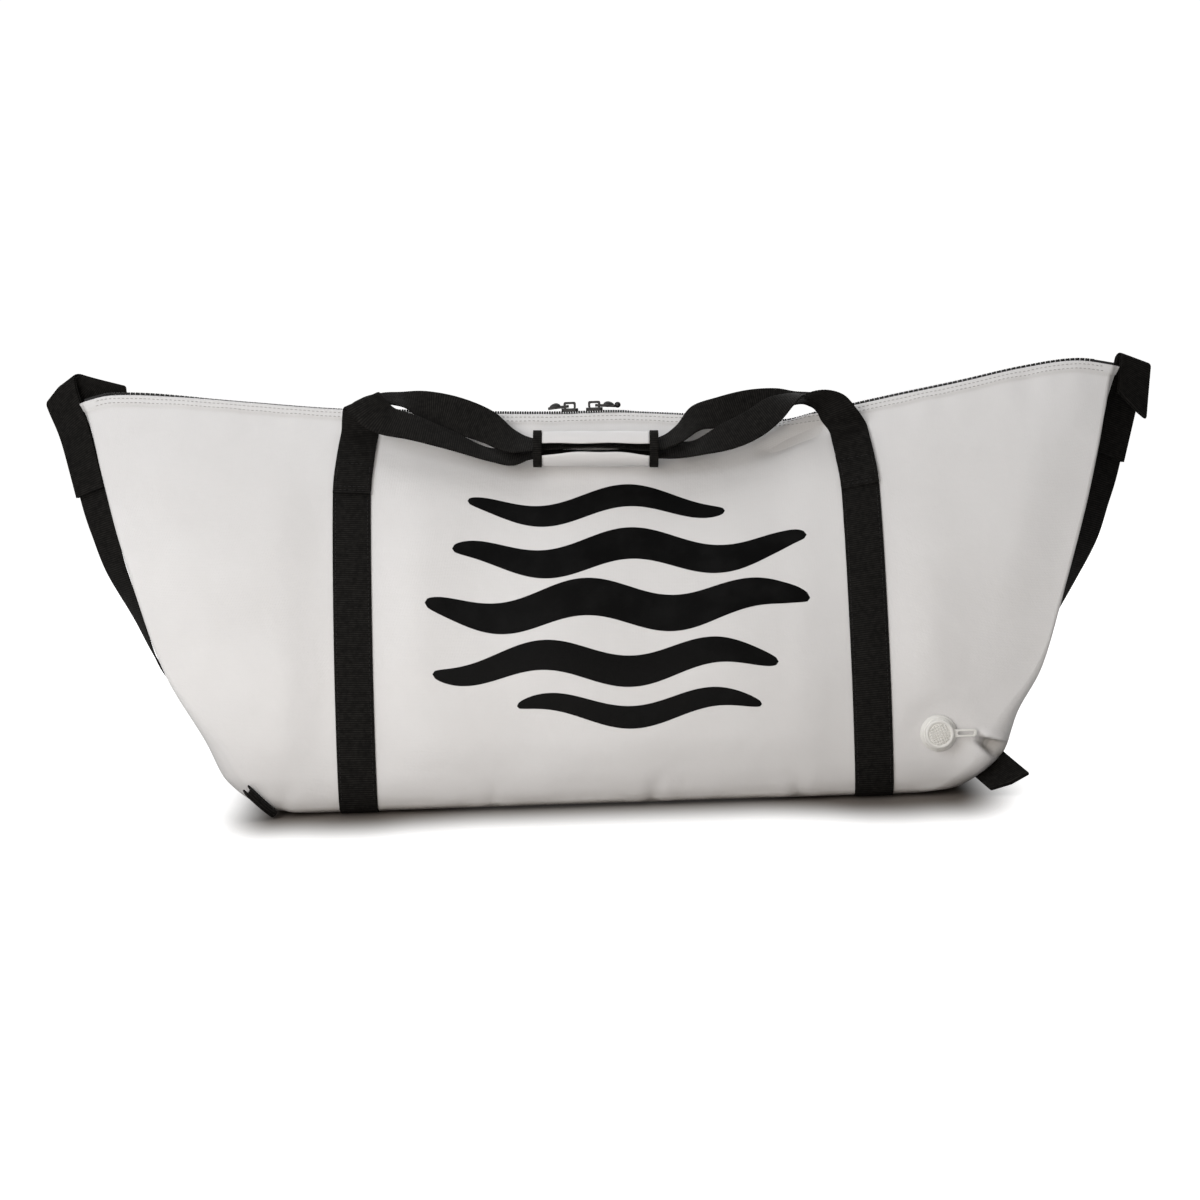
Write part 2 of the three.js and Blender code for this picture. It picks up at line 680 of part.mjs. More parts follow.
// Unit vector from a strap's inner edge to its outer edge, square to its rise.
function acrossStrap(rise, facing, side) {
  const flat = new THREE.Vector3(side * Math.sin(facing), Math.cos(facing), 0);
  return flat.addScaledVector(rise, -flat.dot(rise)).normalize();
}

// A point of a flat doubled band after its fold.
function foldedPoint(along, across, height, loop) {
  const slant = radians(loop.slant);
  const past = (along - loop.fold) * Math.cos(slant) + across * Math.sin(slant);
  if (past <= 0) return [along, across, height];
  const angle = Math.min(past / loop.radius, radians(loop.angle));
  const straight = past - angle * loop.radius;
  const arm = loop.radius - loop.over * height;
  const reach = arm * Math.sin(angle) + straight * Math.cos(angle);
  const rise = loop.over * (loop.radius - arm * Math.cos(angle) + straight * Math.sin(angle));
  const back = past - reach;
  return [along - back * Math.cos(slant), across - back * Math.sin(slant), rise];
}

// Rows of a doubled band, out along one layer, round the closed end and back along the other.
function doubledRows(stations, length, endSlant, layer) {
  const out = stations.map(({ along, slant }) => ({ along, slant, height: layer }));
  const turn = [];
  for (let i = 0; i <= LOOP_TURN_STEPS; i += 1) {
    const angle = Math.PI * (0.5 - i / LOOP_TURN_STEPS);
    turn.push({ along: length + layer * Math.cos(angle), slant: -endSlant, height: layer * Math.sin(angle) });
  }
  const back = out.map((row) => ({ ...row, height: -layer })).reverse();
  return [...out, ...turn, ...back];
}

function loopStations(loop) {
  const bend = radians(loop.angle) * loop.radius;
  const stretch = 1 / Math.cos(radians(loop.slant));
  const stations = [];
  for (let i = 0; i < LOOP_RISE_STEPS; i += 1) {
    const share = i / LOOP_RISE_STEPS;
    stations.push({ along: loop.fold * share, slant: loop.slant * share });
  }
  for (let i = 0; i <= LOOP_FOLD_STEPS; i += 1) {
    stations.push({ along: loop.fold + (bend * stretch * i) / LOOP_FOLD_STEPS, slant: loop.slant });
  }
  stations.push({ along: lerp(loop.fold + bend, loop.length, 0.5), slant: (loop.slant - loop.endSlant) / 3 });
  return stations;
}

function addEnds() {
  for (const loop of LOOPS) {
    const { name, side, seam } = loop;
    const strap = smoothPairs(endStrapPairs(side), END_STRAP_STEPS).map(bandRow);
    addMesh(`end_strap_${name}`, sheetOf(strap, WEBBING_THICK), WEBBING);
    const [below, above] = END_STRAP.slice(-2).map((row) => endStrapRow(row, side));
    const rise = above.middle.clone().sub(below.middle);
    const climb = (seam - below.middle.z) / rise.z;
    const start = below.middle.clone().addScaledVector(rise, climb);
    const turn = (above.facing - below.facing) / rise.length();
    const startFacing = lerp(below.facing, above.facing, climb);
    rise.normalize();
    const grid = doubledRows(loopStations(loop), loop.length, loop.endSlant, LOOP_LAYER).map((row) => {
      return [-HALF_WIDTH, 0, HALF_WIDTH].map((width) => {
        const along = row.along - width * Math.tan(radians(row.slant));
        const [up, over, height] = foldedPoint(along, width, row.height, loop);
        const across = acrossStrap(rise, startFacing + turn * up, side);
        const outward = rise.clone().cross(across).multiplyScalar(-side);
        const point = start.clone().addScaledVector(rise, up).addScaledVector(across, over);
        return point.addScaledVector(outward, height + LOOP_LIFT);
      });
    });
    addMesh(`end_loop_${name}`, sheetOf(grid, WEBBING_THICK), WEBBING);
  }
}

function addCornerTabs() {
  for (const { name, low, high, off, out, way } of TABS) {
    const ends = [low, high].map((point) => new THREE.Vector3(...point));
    const across = ends[1].clone().sub(ends[0]).normalize();
    const outward = new THREE.Vector3(...way);
    outward.addScaledVector(across, -outward.dot(across)).normalize();
    const facing = outward.clone().cross(across);
    const root = ends[0].clone().add(ends[1]).multiplyScalar(0.5).addScaledVector(outward, off);
    const stations = [{ along: 0, slant: 0 }];
    const grid = doubledRows(stations, out, 0, TAB_LAYER).map((row) => {
      return [-HALF_WIDTH, HALF_WIDTH].map((width) => {
        const point = root.clone().addScaledVector(outward, row.along).addScaledVector(across, width);
        return point.addScaledVector(facing, row.height);
      });
    });
    addMesh(`corner_tab_${name}`, sheetOf(grid, WEBBING_THICK), WEBBING);
  }
}

addBodyAndDrain();
addZip();
addStrapsAndHandles();
addGrip();
addEnds();
addCornerTabs();

export default bag;
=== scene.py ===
"""A fish kill bag: padded white vinyl, a zipped top, black webbing straps and handles, and a drain plug."""

import math

import bmesh
import bpy
import numpy as np
from mathutils import Matrix, Vector


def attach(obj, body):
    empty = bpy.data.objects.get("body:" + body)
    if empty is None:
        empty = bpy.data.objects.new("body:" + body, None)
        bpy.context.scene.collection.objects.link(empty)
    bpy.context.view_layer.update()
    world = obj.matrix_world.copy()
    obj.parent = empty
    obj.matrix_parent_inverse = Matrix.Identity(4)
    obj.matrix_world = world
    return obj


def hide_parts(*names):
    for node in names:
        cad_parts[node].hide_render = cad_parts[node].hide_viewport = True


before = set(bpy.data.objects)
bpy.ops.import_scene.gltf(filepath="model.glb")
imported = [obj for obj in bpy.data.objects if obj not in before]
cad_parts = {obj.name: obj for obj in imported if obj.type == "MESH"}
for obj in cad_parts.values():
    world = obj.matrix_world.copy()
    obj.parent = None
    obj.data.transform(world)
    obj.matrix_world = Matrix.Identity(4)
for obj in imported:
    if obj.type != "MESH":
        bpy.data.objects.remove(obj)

bl_info = {
    "name": "Fish kill bag",
    "version": (1, 0, 0),
    "blender": (4, 5, 0),
    "location": "3D View > Sidebar > Fish bag",
    "description": "Builds the cloth, webbing, zip and drain of a fish kill bag around its solid frame",
    "category": "Object",
}

# Lengths below are millimetres, +Z up and the front towards -Y, as in the frame. Meshes are made in metres.
MM = 0.001

# Body at rising shares of its height: share, half length, half depth.
BODY_LEVELS = [
    (0, 330, 137), (0.008, 346, 145), (0.024, 359, 149), (0.055, 376, 152), (0.095, 391, 153),
    (0.19, 410, 151), (0.34, 446, 142), (0.5, 471, 124), (0.66, 491, 100), (0.82, 508, 65),
    (0.92, 518, 36), (0.975, 524.5, 17), (1, 529.5, 8),
]
# Hem along the zip: x, height, depth.
HEM_LINE = [
    (-532, 408, 0), (-500, 415, 0), (-430, 411, 0), (-358, 403, 0), (-276, 394, 0), (-180, 387, 0),
    (-98, 383, 0), (-36, 381, 0), (10, 381, 0), (60, 378, -1), (120, 373, -3), (186, 366, -6),
    (222, 373, -4), (264, 381, -1), (307, 389, 0), (369, 400, 0), (431, 412, 0), (487, 418, 0), (532, 411, 0),
]
BASE_LIFT = 2.5  # the bottom stands on the straps that pass under it
PANEL_EDGE = 0.994  # the front panel's side edge, as a share of the half length
LOW_CORNER, HIGH_CORNER = 34, 4  # radius of the upright corners near the bottom and higher up
# How far the panels' side edges are drawn in: share of the height, left, right.
TUCK = [
    (0, 0, 0), (0.09, 2, -1), (0.14, 3.5, 2), (0.2, 4.5, 5), (0.27, 6.5, 6), (0.35, 8, 11), (0.43, 8, 13),
    (0.56, 8, 12.5), (0.7, 6, 9.5), (0.85, 3.5, 5.5), (1, 0, 2),
]
# Padded wall, how much thicker it is on the level as it slants, and the thinner wall at the hem and ends.
PADDING, SLANT_FACTOR, HEM_THICK, END_WALL = 9, 1.12, 2.5, 6
HEM_SHARE, FLOOR_SHARE = 0.86, 0.023  # where the wall starts to thin, and the floor of the hold
INNER_LEVELS = (1, 0.95, 0.86, 0.72, 0.54, 0.36, 0.2, 0.1, 0.05, 0.012, 0)
# Hem: length that shares below it are counted over, where its fold ends, how proud it stands, its rolled lip,
# the reach of its seam and how far below it the two rows are sewn.
HEM_RUN, HEM_FOLD, HEM_PROUD, HEM_ROLL = 500, (9.6, 10.8), 0.8, 0.9
HEM_SEAM, HEM_ROWS = 514, (3.2, 8.2)
# Padding: swelling of the panels, random waves in it, puckers by the hem, the side edges and the bottom, and
# how far the ends are drawn in and folded.
SWELL, SWELL_WAVES, HEM_PUCKER, EDGE_PUCKER, LOW_PUCKER = 4.5, 2.1, 0.45, 0.55, 0.9
GUSSET_DEPTH, END_FOLDS = 5, 0.8
RIPPLE_WAVES = 9
# Creases up from the bottom of the front: x, top, depth, lean.
CREASES = [(37, 44, 1.7, 0.2), (184, 36, 1.6, -0.25), (-120, 36, 1.1, 0.1), (-330, 50, 1.2, 0.3)]
# The fold under the hem and the pleat by the drain, each from and to (x, z), and how far the pleat's pocket,
# lip and flap stand out.
HEM_CREASE, PLEAT = ((150, 344), (224, 371)), ((350, 63), (392, 50))
PLEAT_DEPTHS = (-13, 3.5, 2.5)

# Webbing
STRAP_MIDDLES, STRAP_HALF = (-251, 257), 19
STRAP_TOP = 0.88
SEWN_RUN = [(0.79, 0), (0.83, 1), (0.87, 3), (0.91, 5.4), (0.945, 7.8)]  # share, how far it has come inward
STRAP_SHIFT, STRAP_X = 3, 254  # middle between the straps, and how far each is from it
HANDLE_ROWS = (0.797, 0.806, 0.862)  # shares of the height where a handle's end is sewn across
SEAM_IN, THREAD_LIFT = 3, 0.05  # from the webbing's edge to its stitches, and from its face to the thread
STITCH_WIDE, STITCH_HIGH, STITCH_SIDES = 0.75, 0.6, 6
# Handles: x, y, z, tilt, lean, width share.
HANDLE_FRONT = [
    (-242.5, -31, 389, 12, 0, 1), (-241.5, -33, 402, 20, 0, 1), (-239, -39, 404, 23, 4, 1),
    (-234, -44, 398, 30, 15, 1), (-226, -48, 390.5, 43, 28, 1), (-214, -52, 383, 61, 42, 1),
    (-189, -57, 376, 75, 52, 1), (-150, -59, 361.5, 82, 64, 1), (-111, -66, 346.5, 80, 73, 0.96),
    (-87, -69, 345.6, 76, 56, 0.93), (-69, -69, 346.6, 76, 69, 0.74), (-6, -69, 345.4, 82, 86, 0.7),
    (57, -69, 343.6, 88, 69, 0.74), (76, -69, 345.2, 95, 66, 0.93), (94, -66, 346.4, 104, 69, 0.97),
    (127, -62, 357, 118, 47, 1), (153, -55, 368, 126, 43, 1), (174, -50, 382, 126, 50, 1),
    (190, -46, 391, 126, 72, 1), (203, -42, 395, 180, 88, 1), (217, -38, 394, 216, 60, 1),
    (231, -36, 387, 207, 36, 1), (240, -36, 374, 197, 8, 1),
]
HANDLE_BACK = [
    (-240, 22, 395, 2, -8, 1), (-230, 12, 400.5, -14, -40, 1), (-216, 3, 403, -42, -64, 1),
    (-200, -5, 401.5, -66, -64, 1), (-176, -15, 393.5, -88, -29, 1), (-147, -25, 386, -112, -20, 1),
    (-114, -39, 373, -115, -32, 1), (-89, -59, 358.5, -110, -54, 0.95), (-69, -68, 355.2, -104, -67, 0.74),
    (-6, -68.5, 352.4, -94, -86, 0.7), (57, -68, 351.8, -82, -67, 0.74), (77, -58, 360, -68, -66, 0.94),
    (98, -29.5, 375, -66, -50, 1), (126, -22, 378.5, -69, -24, 1), (154, -13, 383.5, -78, -24, 1),
    (178, -2, 386.5, -100, -42, 1), (196, 6, 389, -124, -64, 1), (212, 13, 389, -148, -62, 1),
    (228, 20, 384.5, -166, -40, 1), (240, 26, 376, -175, -14, 1),
]
# End straps: height, how far out, depth, turn from lying on the end to facing forward.
END_STRAP = [
    (46, 1.7, 0, 0), (90, 4.4, 0, 4), (136, 9, 0, 9), (190, 14.6, 0, 26), (240, 19.5, 0, 44),
    (275, 18.8, 1.5, 52), (300, 18.2, 5, 58), (342, 17.8, 14.5, 60),
]
# Grab loops: side, seam height, length, fold, slant, angle, radius, over, slant of the closed end.
LOOPS = {
    "left": (-1, 317, 172, 104, 26, 145, 4.4, -1, 0),
    "right": (1, 319, 158, 99, 0, 168, 4.4, 1, 26),
}
LOOP_LIFT, LOOP_LAYER, LOOP_COLUMNS = 4.8, 1.4, 9
LOOP_ROUND = {"left": 6, "right": 1.5}  # how far the corners of the closed end are drawn back
# Places where a loop bulges out of its flat folds: x, z, radius, push along x and z.
LOOP_BULGES = {"left": [(-553, 409, 24, -7.5, 3), (-541, 424, 15, -2.5, 2.5)], "right": []}
# Corner tabs: low and high ends of the root, offset, length at its low and high sides, direction, half gap,
# which way it curls, and how far it slips along the bag for its length.
TABS = {
    "left": ((-338, -136, 7.5), (-362, -149, 33.5), 4.5, (12, 12), (0, -1, 0), 3.2, -1, 0),
    "right": ((357, -129, 17), (389, -127, 38), -0.8, (28, 40), (0.62, -0.66, -0.2), 1.6, 1, 0.17),
}

# Zip, grip and drain
TAPE_HALF, TAPE_LIFT, TAPE_THICK, ZIP_REACH, ZIP_END = 4.2, -1.8, 1.2, 507, 524
FOLDED_LIFT, FOLDED_THICK = 1.4, 3.4  # the folded ends of the tape
CHAIN_LIFT, TOOTH_LIFT, TOOTH_APART = 0.9, 0.55, 1.1
TOOTH_SHARE, TOOTH_SIZE, TOOTH_CORNER = 0.4, (4.5, 4.4), 0.5  # length over pitch, width and height
# Runs where the teeth are sunk: depth, and the x where it begins, is full, fades and ends.
TEETH_SUNK = [(1.7, -460, -390, -260, -225), (1.0, 20, 40, 120, 200)]
PULL_HINGES = {"left": (-33.2, 389.44), "right": (-3.8, 389.65)}  # x, z
PULL_LEAF = (6.8, 18.5, 3.1, 4.4, 0.9)  # start and end along the pull, half height, half width, rise
GRIP_PLACE, GRIP_LENGTH, GRIP_SLOPE = (-6, -69, 349.3), 107, 1.9
GRIP_DEPTH, GRIP_HEIGHT, GRIP_WALL = 20, 17.7, 2.2
# Degrees from the front up to the slit's upper lip, and down to its lower one at the ends and in the middle.
GRIP_ABOVE, GRIP_BELOW = 25, (24, 9)
GRIP_ROWS, GRIP_COLUMNS = 60, 72
BINDING_WIDTH, BINDING_PROUD, BINDING_THICK, BINDING_GAP = 8.7, 0.8, 3.2, 0.3
DRAIN_X, DRAIN_Z, DRAIN_SHARE, DRAIN_HOLE, DRAIN_SIDES = 321, 60, 0.15, 11.4, 72
DRAIN_FLAT = (20, 46)  # distances from the drain where the skin starts to swell and swells in full
# Seat and cap as turned profiles: radius, height off the wall.
DRAIN_SEAT = [
    (8.3, -11), (11, -11), (11, 0.4), (17.4, 0.4), (18, 0.9), (18, 1.8), (17.3, 2.6), (16.2, 3.2),
    (15.6, 4.2), (15.6, 6.1), (15.2, 6.5), (8.3, 6.5),
]
DRAIN_CAP = [
    (0.01, -4), (7.6, -4), (8, -3.6), (8, 6.8), (13.4, 6.8), (14, 7.2), (14.2, 7.8), (14.2, 12.2), (14, 12.9),
    (13.4, 13.5), (12.6, 13.8), (11.6, 13.7), (11, 13.2), (10.5, 12.3), (0.01, 12.4),
]
# Ribs on the cap's face: turns, places, the circle they reach, width and height, corner, middle height.
CAP_RIB_TURNS, CAP_RIB_PLACES, CAP_RIB_CIRCLE = (22, 112), np.arange(-7.8, 7.9, 2.6), 10.4
CAP_RIB_SIZE, CAP_RIB_CORNER, CAP_RIB_MIDDLE = (0.95, 1.6), 0.3, 12.9
FINGER_TAB = (10, 37, 7.6, 3.6)  # start, end, width, corner
FINGER_SLOT = (18, 34, 3.4, 1.6)
FINGER_LOW, FINGER_THICK, CORNER_STEPS = 7.4, 2.4, 6

# Density of the body's mesh: columns on a face, in a corner and on an end, and rows of the height.
FACE_COLUMNS, CORNER_COLUMNS, END_COLUMNS = 210, 22, 24
SHARES = np.concatenate(
    [np.linspace(*span, endpoint=False) for span in ((0, 0.03, 12), (0.03, 0.17, 32), (0.17, 0.93, 80))]
    + [np.linspace(0.93, 1, 26)]
)
GIRTH_ROW, RISE_COLUMN = 90, 20  # where the cloth is measured round the body and up it

# Looks, in metres: pitches of the woven threads, half size of the foot on the floor, reach of its painted
# shade.
SCRIM_PITCH, YARN_PITCH, THREAD_PITCH, TWILL_PITCH = 0.0016, 0.0011, 0.0009, 0.0009
FOOT, SHADE_REACH = (0.33, 0.137), 0.118
# How fast the painted shade ends in front of the bag, behind it and beside it, and the glow of the clear
# floor.
SLOW_AHEAD, FAST_BEHIND, FAST_BESIDE, FLOOR_GLOW = 0.6, 1.8, 1.5, 0.9

# View of the photograph
CAMERA_AIM, CAMERA_DISTANCE, CAMERA_ELEVATION, CAMERA_ROLL = (-6.7, 0, 190), 3200, 6, 1.9
CAMERA_LENS, CAMERA_SENSOR = 93.57, 36


def smooth(low, high, value):
    """An eased step from 0 at low to 1 at high."""
    t = np.clip((np.asarray(value, float) - low) / (high - low), 0, 1)
    return t * t * (3 - 2 * t)


def plateau(value, start, full, fade, end):
    """Eases from 0 at start to 1 at full, and from 1 at fade to 0 at end."""
    return smooth(start, full, value) * (1 - smooth(fade, end, value))


def hump(value, width):
    return np.exp(-((value / width) ** 2))


def mix(a, b, t):
    return a + (b - a) * t


def unit(v):
    return v / np.maximum(np.linalg.norm(v, axis=-1, keepdims=True), 1e-9)


def curve_of(rows, column):
    """A smooth curve through one column of a table against its first column."""
    at = np.array([row[0] for row in rows], float)
    of = np.array([row[column] for row in rows], float)
    here = np.arange(len(at))
    before, after = np.maximum(here - 1, 0), np.minimum(here + 1, len(at) - 1)
    slope = (of[after] - of[before]) / (at[after] - at[before])

    def value_at(value):
        value = np.asarray(value, float)
        i = np.searchsorted(at[1:-1], value)
        width = at[i + 1] - at[i]
        t = np.clip((value - at[i]) / width, 0, 1)
        bend = t * (1 - t) * ((1 - t) * slope[i] - t * slope[i + 1]) * width
        return mix(of[i], of[i + 1], t * t * (3 - 2 * t)) + bend

    return value_at


half_length, half_depth = curve_of(BODY_LEVELS, 1), curve_of(BODY_LEVELS, 2)
hem_height, hem_depth = curve_of(HEM_LINE, 1), curve_of(HEM_LINE, 2)
tuck_left, tuck_right = curve_of(TUCK, 1), curve_of(TUCK, 2)
TOP_LENGTH = float(half_length(1))


def through(points, steps):
    """Points of a centripetal Catmull-Rom curve through the given ones, with so many steps between two."""
    p = np.asarray(points, float)
    p = np.concatenate([[2 * p[0] - p[1]], p, [2 * p[-1] - p[-2]]])
    t = np.linspace(0, 1, steps, endpoint=False)[:, None]
    run = []
    for i in range(1, len(p) - 2):
        p0, p1, p2, p3 = p[i - 1 : i + 3]
        gaps = [math.sqrt(np.linalg.norm(b - a)) for a, b in ((p0, p1), (p1, p2), (p2, p3))]
        d0, d1, d2 = (max(g, 1e-4) for g in gaps)
        m1 = ((p1 - p0) / d0 - (p2 - p0) / (d0 + d1) + (p2 - p1) / d1) * d1
        m2 = ((p2 - p1) / d1 - (p3 - p1) / (d1 + d2) + (p3 - p2) / d2) * d1
        run.append(p1 + m1 * t + (3 * (p2 - p1) - 2 * m1 - m2) * t**2 + (2 * (p1 - p2) + m1 + m2) * t**3)
    return np.concatenate([*run, p[-2:-1]])


def distances(points):
    """How far along a run of points each one lies."""
    return np.concatenate([[0], np.cumsum(np.linalg.norm(np.diff(points, axis=0), axis=1))])


def resampled(columns, step):
    """Rows of points spaced evenly along the middle of a band, and their distances along it."""
    far = distances(columns.mean(axis=1))
    count = max(2, int(round(far[-1] / step)) + 1)
    at = np.linspace(0, far[-1], count)
    flat = columns.reshape(len(columns), -1)
    rows = np.stack([np.interp(at, far, flat[:, k]) for k in range(flat.shape[1])], -1)
    return rows.reshape(count, columns.shape[1], 3), at


# Skin of the body


def corner_radius(share, deep):
    return np.minimum(mix(LOW_CORNER, HIGH_CORNER, smooth(0.03, 0.38, share)), 0.55 * deep)


def panel_edge(share, way, thin=0.0):
    """How far from the middle the panels end, on the left where way is negative, else on the right."""
    drawn = np.where(np.asarray(way) < 0, tuck_left(share), tuck_right(share))
    return PANEL_EDGE * (half_length(share) - thin) - drawn


def below_hem(share):
    return (1 - share) * HEM_RUN


def lifted(x, y, share, long):
    """A point of the skin, raised to its share of the hem's height."""
    hem_x = x / long * TOP_LENGTH
    z = BASE_LIFT + share * (hem_height(hem_x) - BASE_LIFT)
    return np.stack([x, y + hem_depth(hem_x) * share**4, z], -1)


def bare_face(x, share, side):
    """The outer skin of the front (side -1) or back (side 1) before it swells."""
    x, share = np.broadcast_arrays(np.asarray(x, float), np.asarray(share, float))
    long, deep = half_length(share), half_depth(share)
    turn = corner_radius(share, deep)
    over = np.clip((np.abs(x) - panel_edge(share, x) + turn) / turn, 0, 1)
    return lifted(x, side * (deep - turn * (1 - np.sqrt(1 - over**2))), share, long)


def face_normal(x, share, side):
    share = np.asarray(share, float)
    level = bare_face(x + 1.0, share, side) - bare_face(x - 1.0, share, side)
    up, down = np.minimum(1, share + 0.004), np.maximum(0, share - 0.004)
    return unit(np.cross(level, bare_face(x, up, side) - bare_face(x, down, side))) * -side


def ripple(x, z, seed, shortest, longest):
    """Gentle random waves of about unit height."""
    draw = np.random.default_rng(seed)
    total = np.zeros(np.broadcast(x, z).shape)
    for _ in range(RIPPLE_WAVES):
        wave = draw.uniform(shortest, longest)
        turn, shift = draw.uniform(0, math.tau), draw.uniform(0, math.tau)
        total += np.sin(math.tau / wave * (x * math.cos(turn) + z * math.sin(turn)) + shift)
    return total / math.sqrt(RIPPLE_WAVES)


def along_line(x, z, start, end):
    """How far along a line a point lies, from 0 to 1, and how far to its left."""
    (x0, z0), (x1, z1) = start, end
    long = math.hypot(x1 - x0, z1 - z0)
    dx, dz = (x1 - x0) / long, (z1 - z0) / long
    return ((x - x0) * dx + (z - z0) * dz) / long, (z - z0) * dx - (x - x0) * dz


def hem_fold(share):
    """How far the folded hem stands proud."""
    return HEM_PROUD * (1 - smooth(*HEM_FOLD, below_hem(share)))


def swell(x, share, side):
    """How far the padded front or back stands out from its bare shape."""
    x, share = np.broadcast_arrays(np.asarray(x, float), np.asarray(share, float))
    z = bare_face(x, share, side)[..., 2]
    edge = panel_edge(share, x) - np.abs(x)
    beside = np.minimum(*(np.abs(x - middle) for middle in STRAP_MIDDLES)) - STRAP_HALF
    free, inner = smooth(0, 55, beside), smooth(8, 70, edge)
    rise = plateau(share, 0.02, 0.18, 0.66, 0.985)
    drain = smooth(*DRAIN_FLAT, np.hypot(x - DRAIN_X, z - DRAIN_Z)) if side < 0 else 1
    out = SWELL * free * rise * inner * drain
    out = out + SWELL_WAVES * np.sqrt(free) * inner * rise * drain * ripple(x, z, 11 + side, 110, 420)
    # Puckers of the sewing along the hem, the side edges and the bottom.
    near_hem = plateau(share, 0.86, 0.97, 0.985, 1) * smooth(-4, 24, beside)
    out = out + HEM_PUCKER * near_hem * ripple(x, z * 0.2, 21 + side, 26, 70)
    near_edge = (1 - smooth(8, 46, edge)) * plateau(share, 0.06, 0.16, 0.9, 0.99)
    out = out + EDGE_PUCKER * near_edge * ripple(x * 0.2, z, 31 + side, 24, 80)
    near_bottom = plateau(share, 0.006, 0.03, 0.05, 0.15) * smooth(-2, 20, beside)
    out = out + LOW_PUCKER * near_bottom * drain * ripple(x, z * 0.3, 41 + side, 40, 150)
    return out + hem_fold(share) + (front_folds(x, z) if side < 0 else 0)


def front_folds(x, z):
    """Folds that show on the front: one under the hem, creases at the bottom and a pleat by the drain."""
    along, off = along_line(x, z, *HEM_CREASE)
    run = plateau(along, -0.1, 0.3, 0.75, 1.15)
    out = 5.5 * run * hump(off - 2, 6) - 6.5 * run * hump(off + 9, 7)
    for crease_x, top, deep, lean in CREASES:
        low, beside = 1 - smooth(8, top, z), x - crease_x - lean * z
        out = out - deep * low * hump(beside, 5 + 0.16 * z)
        out = out + 0.5 * deep * low * hump(np.abs(beside) - 15, 9)
    for depth, part in zip(PLEAT_DEPTHS, drain_pocket(x, z)):
        out = out + depth * part
    return out


def drain_pocket(x, z):
    """By the drain the skin overhangs a pocket, under which a flap of the corner comes forward again: shares
    of the pocket, the overhang's lip and the flap."""
    along, off = along_line(x, z, *PLEAT)
    open_by = 3 + 19 * np.clip(along, 0, 1.3)
    run = smooth(0.14, 0.5, along)
    pocket = run * smooth(0.8, -1.6, off) * (1 - smooth(-0.8, -1.08, off / open_by))
    flap = smooth(-0.9, -1.12, off / open_by) * smooth(-0.2, 0.5, along) * (1 - smooth(30, 50, -off))
    return pocket, run * hump(off - 3.5, 5), flap


def face_point(x, share, side, lift=0.0):
    """A point of the swollen front or back, or one lifted off it."""
    out = swell(x, share, side) + lift
    return bare_face(x, share, side) + face_normal(x, share, side) * np.asarray(out)[..., None]


def face_columns():
    """Places of the columns across a face, from -1 to 1, closer together by the drain."""
    at = np.linspace(-1, 1, 2001)
    dense = np.cumsum(1 + 1.7 * smooth(0.76, 0.86, at))
    return np.interp(np.arange(FACE_COLUMNS) / FACE_COLUMNS, (dense - dense[0]) / (dense[-1] - dense[0]), at)


def bare_ring(share, thin_length=0.0, thin_depth=0.0):
    """An outline of the body, counter-clockwise from the front's left corner."""
    long, deep = float(half_length(share)) - thin_length, float(half_depth(share)) - thin_depth
    turn = float(corner_radius(share, deep))
    face = face_columns()
    bend = np.linspace(0, math.pi / 2, CORNER_COLUMNS, endpoint=False)
    end = np.linspace(-1, 1, END_COLUMNS, endpoint=False)
    runs = []
    # The front with the right end, then the back with the left end.
    for way in (1, -1):
        reach, other = (float(panel_edge(share, w, thin_length)) for w in (way, -way))
        parts = (
            (np.where(face < 0, other - turn, reach - turn) * face, np.full(FACE_COLUMNS, -deep)),
            (reach - turn + turn * np.sin(bend), turn - deep - turn * np.cos(bend)),
            (reach + (long - reach) * (1 - np.abs(end) ** 1.2), (deep - turn) * end),
            (reach - turn + turn * np.cos(bend), deep - turn + turn * np.sin(bend)),
        )
        runs += [way * np.array(part) for part in parts]
    return lifted(*np.concatenate(runs, axis=1), share, long)


# Making pieces


def turn_outwards(mesh):
    """Turns all faces of a closed mesh outwards."""
    shape = bmesh.new()
    shape.from_mesh(mesh)
    bmesh.ops.recalc_face_normals(shape, faces=shape.faces)
    shape.to_mesh(mesh)
    shape.free()


def new_piece(name, shape, material, slot, *replaced, body="bag"):
    """A mesh object of a shape (points, faces, uv) in millimetres, riding on a body in place of solids."""
    points, faces, uv = shape
    mesh = bpy.data.meshes.new(name)
    mesh.from_pydata((np.asarray(points, float) * MM).tolist(), [], faces)
    turn_outwards(mesh)
    if uv is not None:
        layer = mesh.uv_layers.new(name="cloth")
        corner = np.zeros(len(mesh.loops), np.int32)
        mesh.loops.foreach_get("vertex_index", corner)
        layer.data.foreach_set("uv", (np.asarray(uv, float)[corner] * MM).astype(np.float32).ravel())
    mesh.polygons.foreach_set("use_smooth", [True] * len(mesh.polygons))
    mesh.materials.append(material)
    mesh.update()
    piece = bpy.data.objects.new(name, mesh)
    bpy.context.scene.collection.objects.link(piece)
    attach(piece, body)
    if replaced:
        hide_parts(*replaced)
    return piece


def mark(piece, name, values):
    """Stores a value at each point, for a material to read."""
    piece.data.attributes.new(name, "FLOAT", "POINT").data.foreach_set("value", values)


def soften(piece, width, degrees):
    """Rounds the edges of a piece that turn by more than so many degrees."""
    edges = piece.modifiers.new("soft edges", "BEVEL")
    edges.width, edges.segments, edges.limit_method = width, 2, "ANGLE"
    edges.angle_limit = math.radians(degrees)


def ring_faces(rows, columns):
    """Quads between closed rings of points."""
    r = np.arange(rows - 1)[:, None] * columns
    c = np.arange(columns)[None, :]
    n = (c + 1) % columns
    return np.stack([r + c, r + n, r + n + columns, r + c + columns], -1).reshape(-1, 4).tolist()


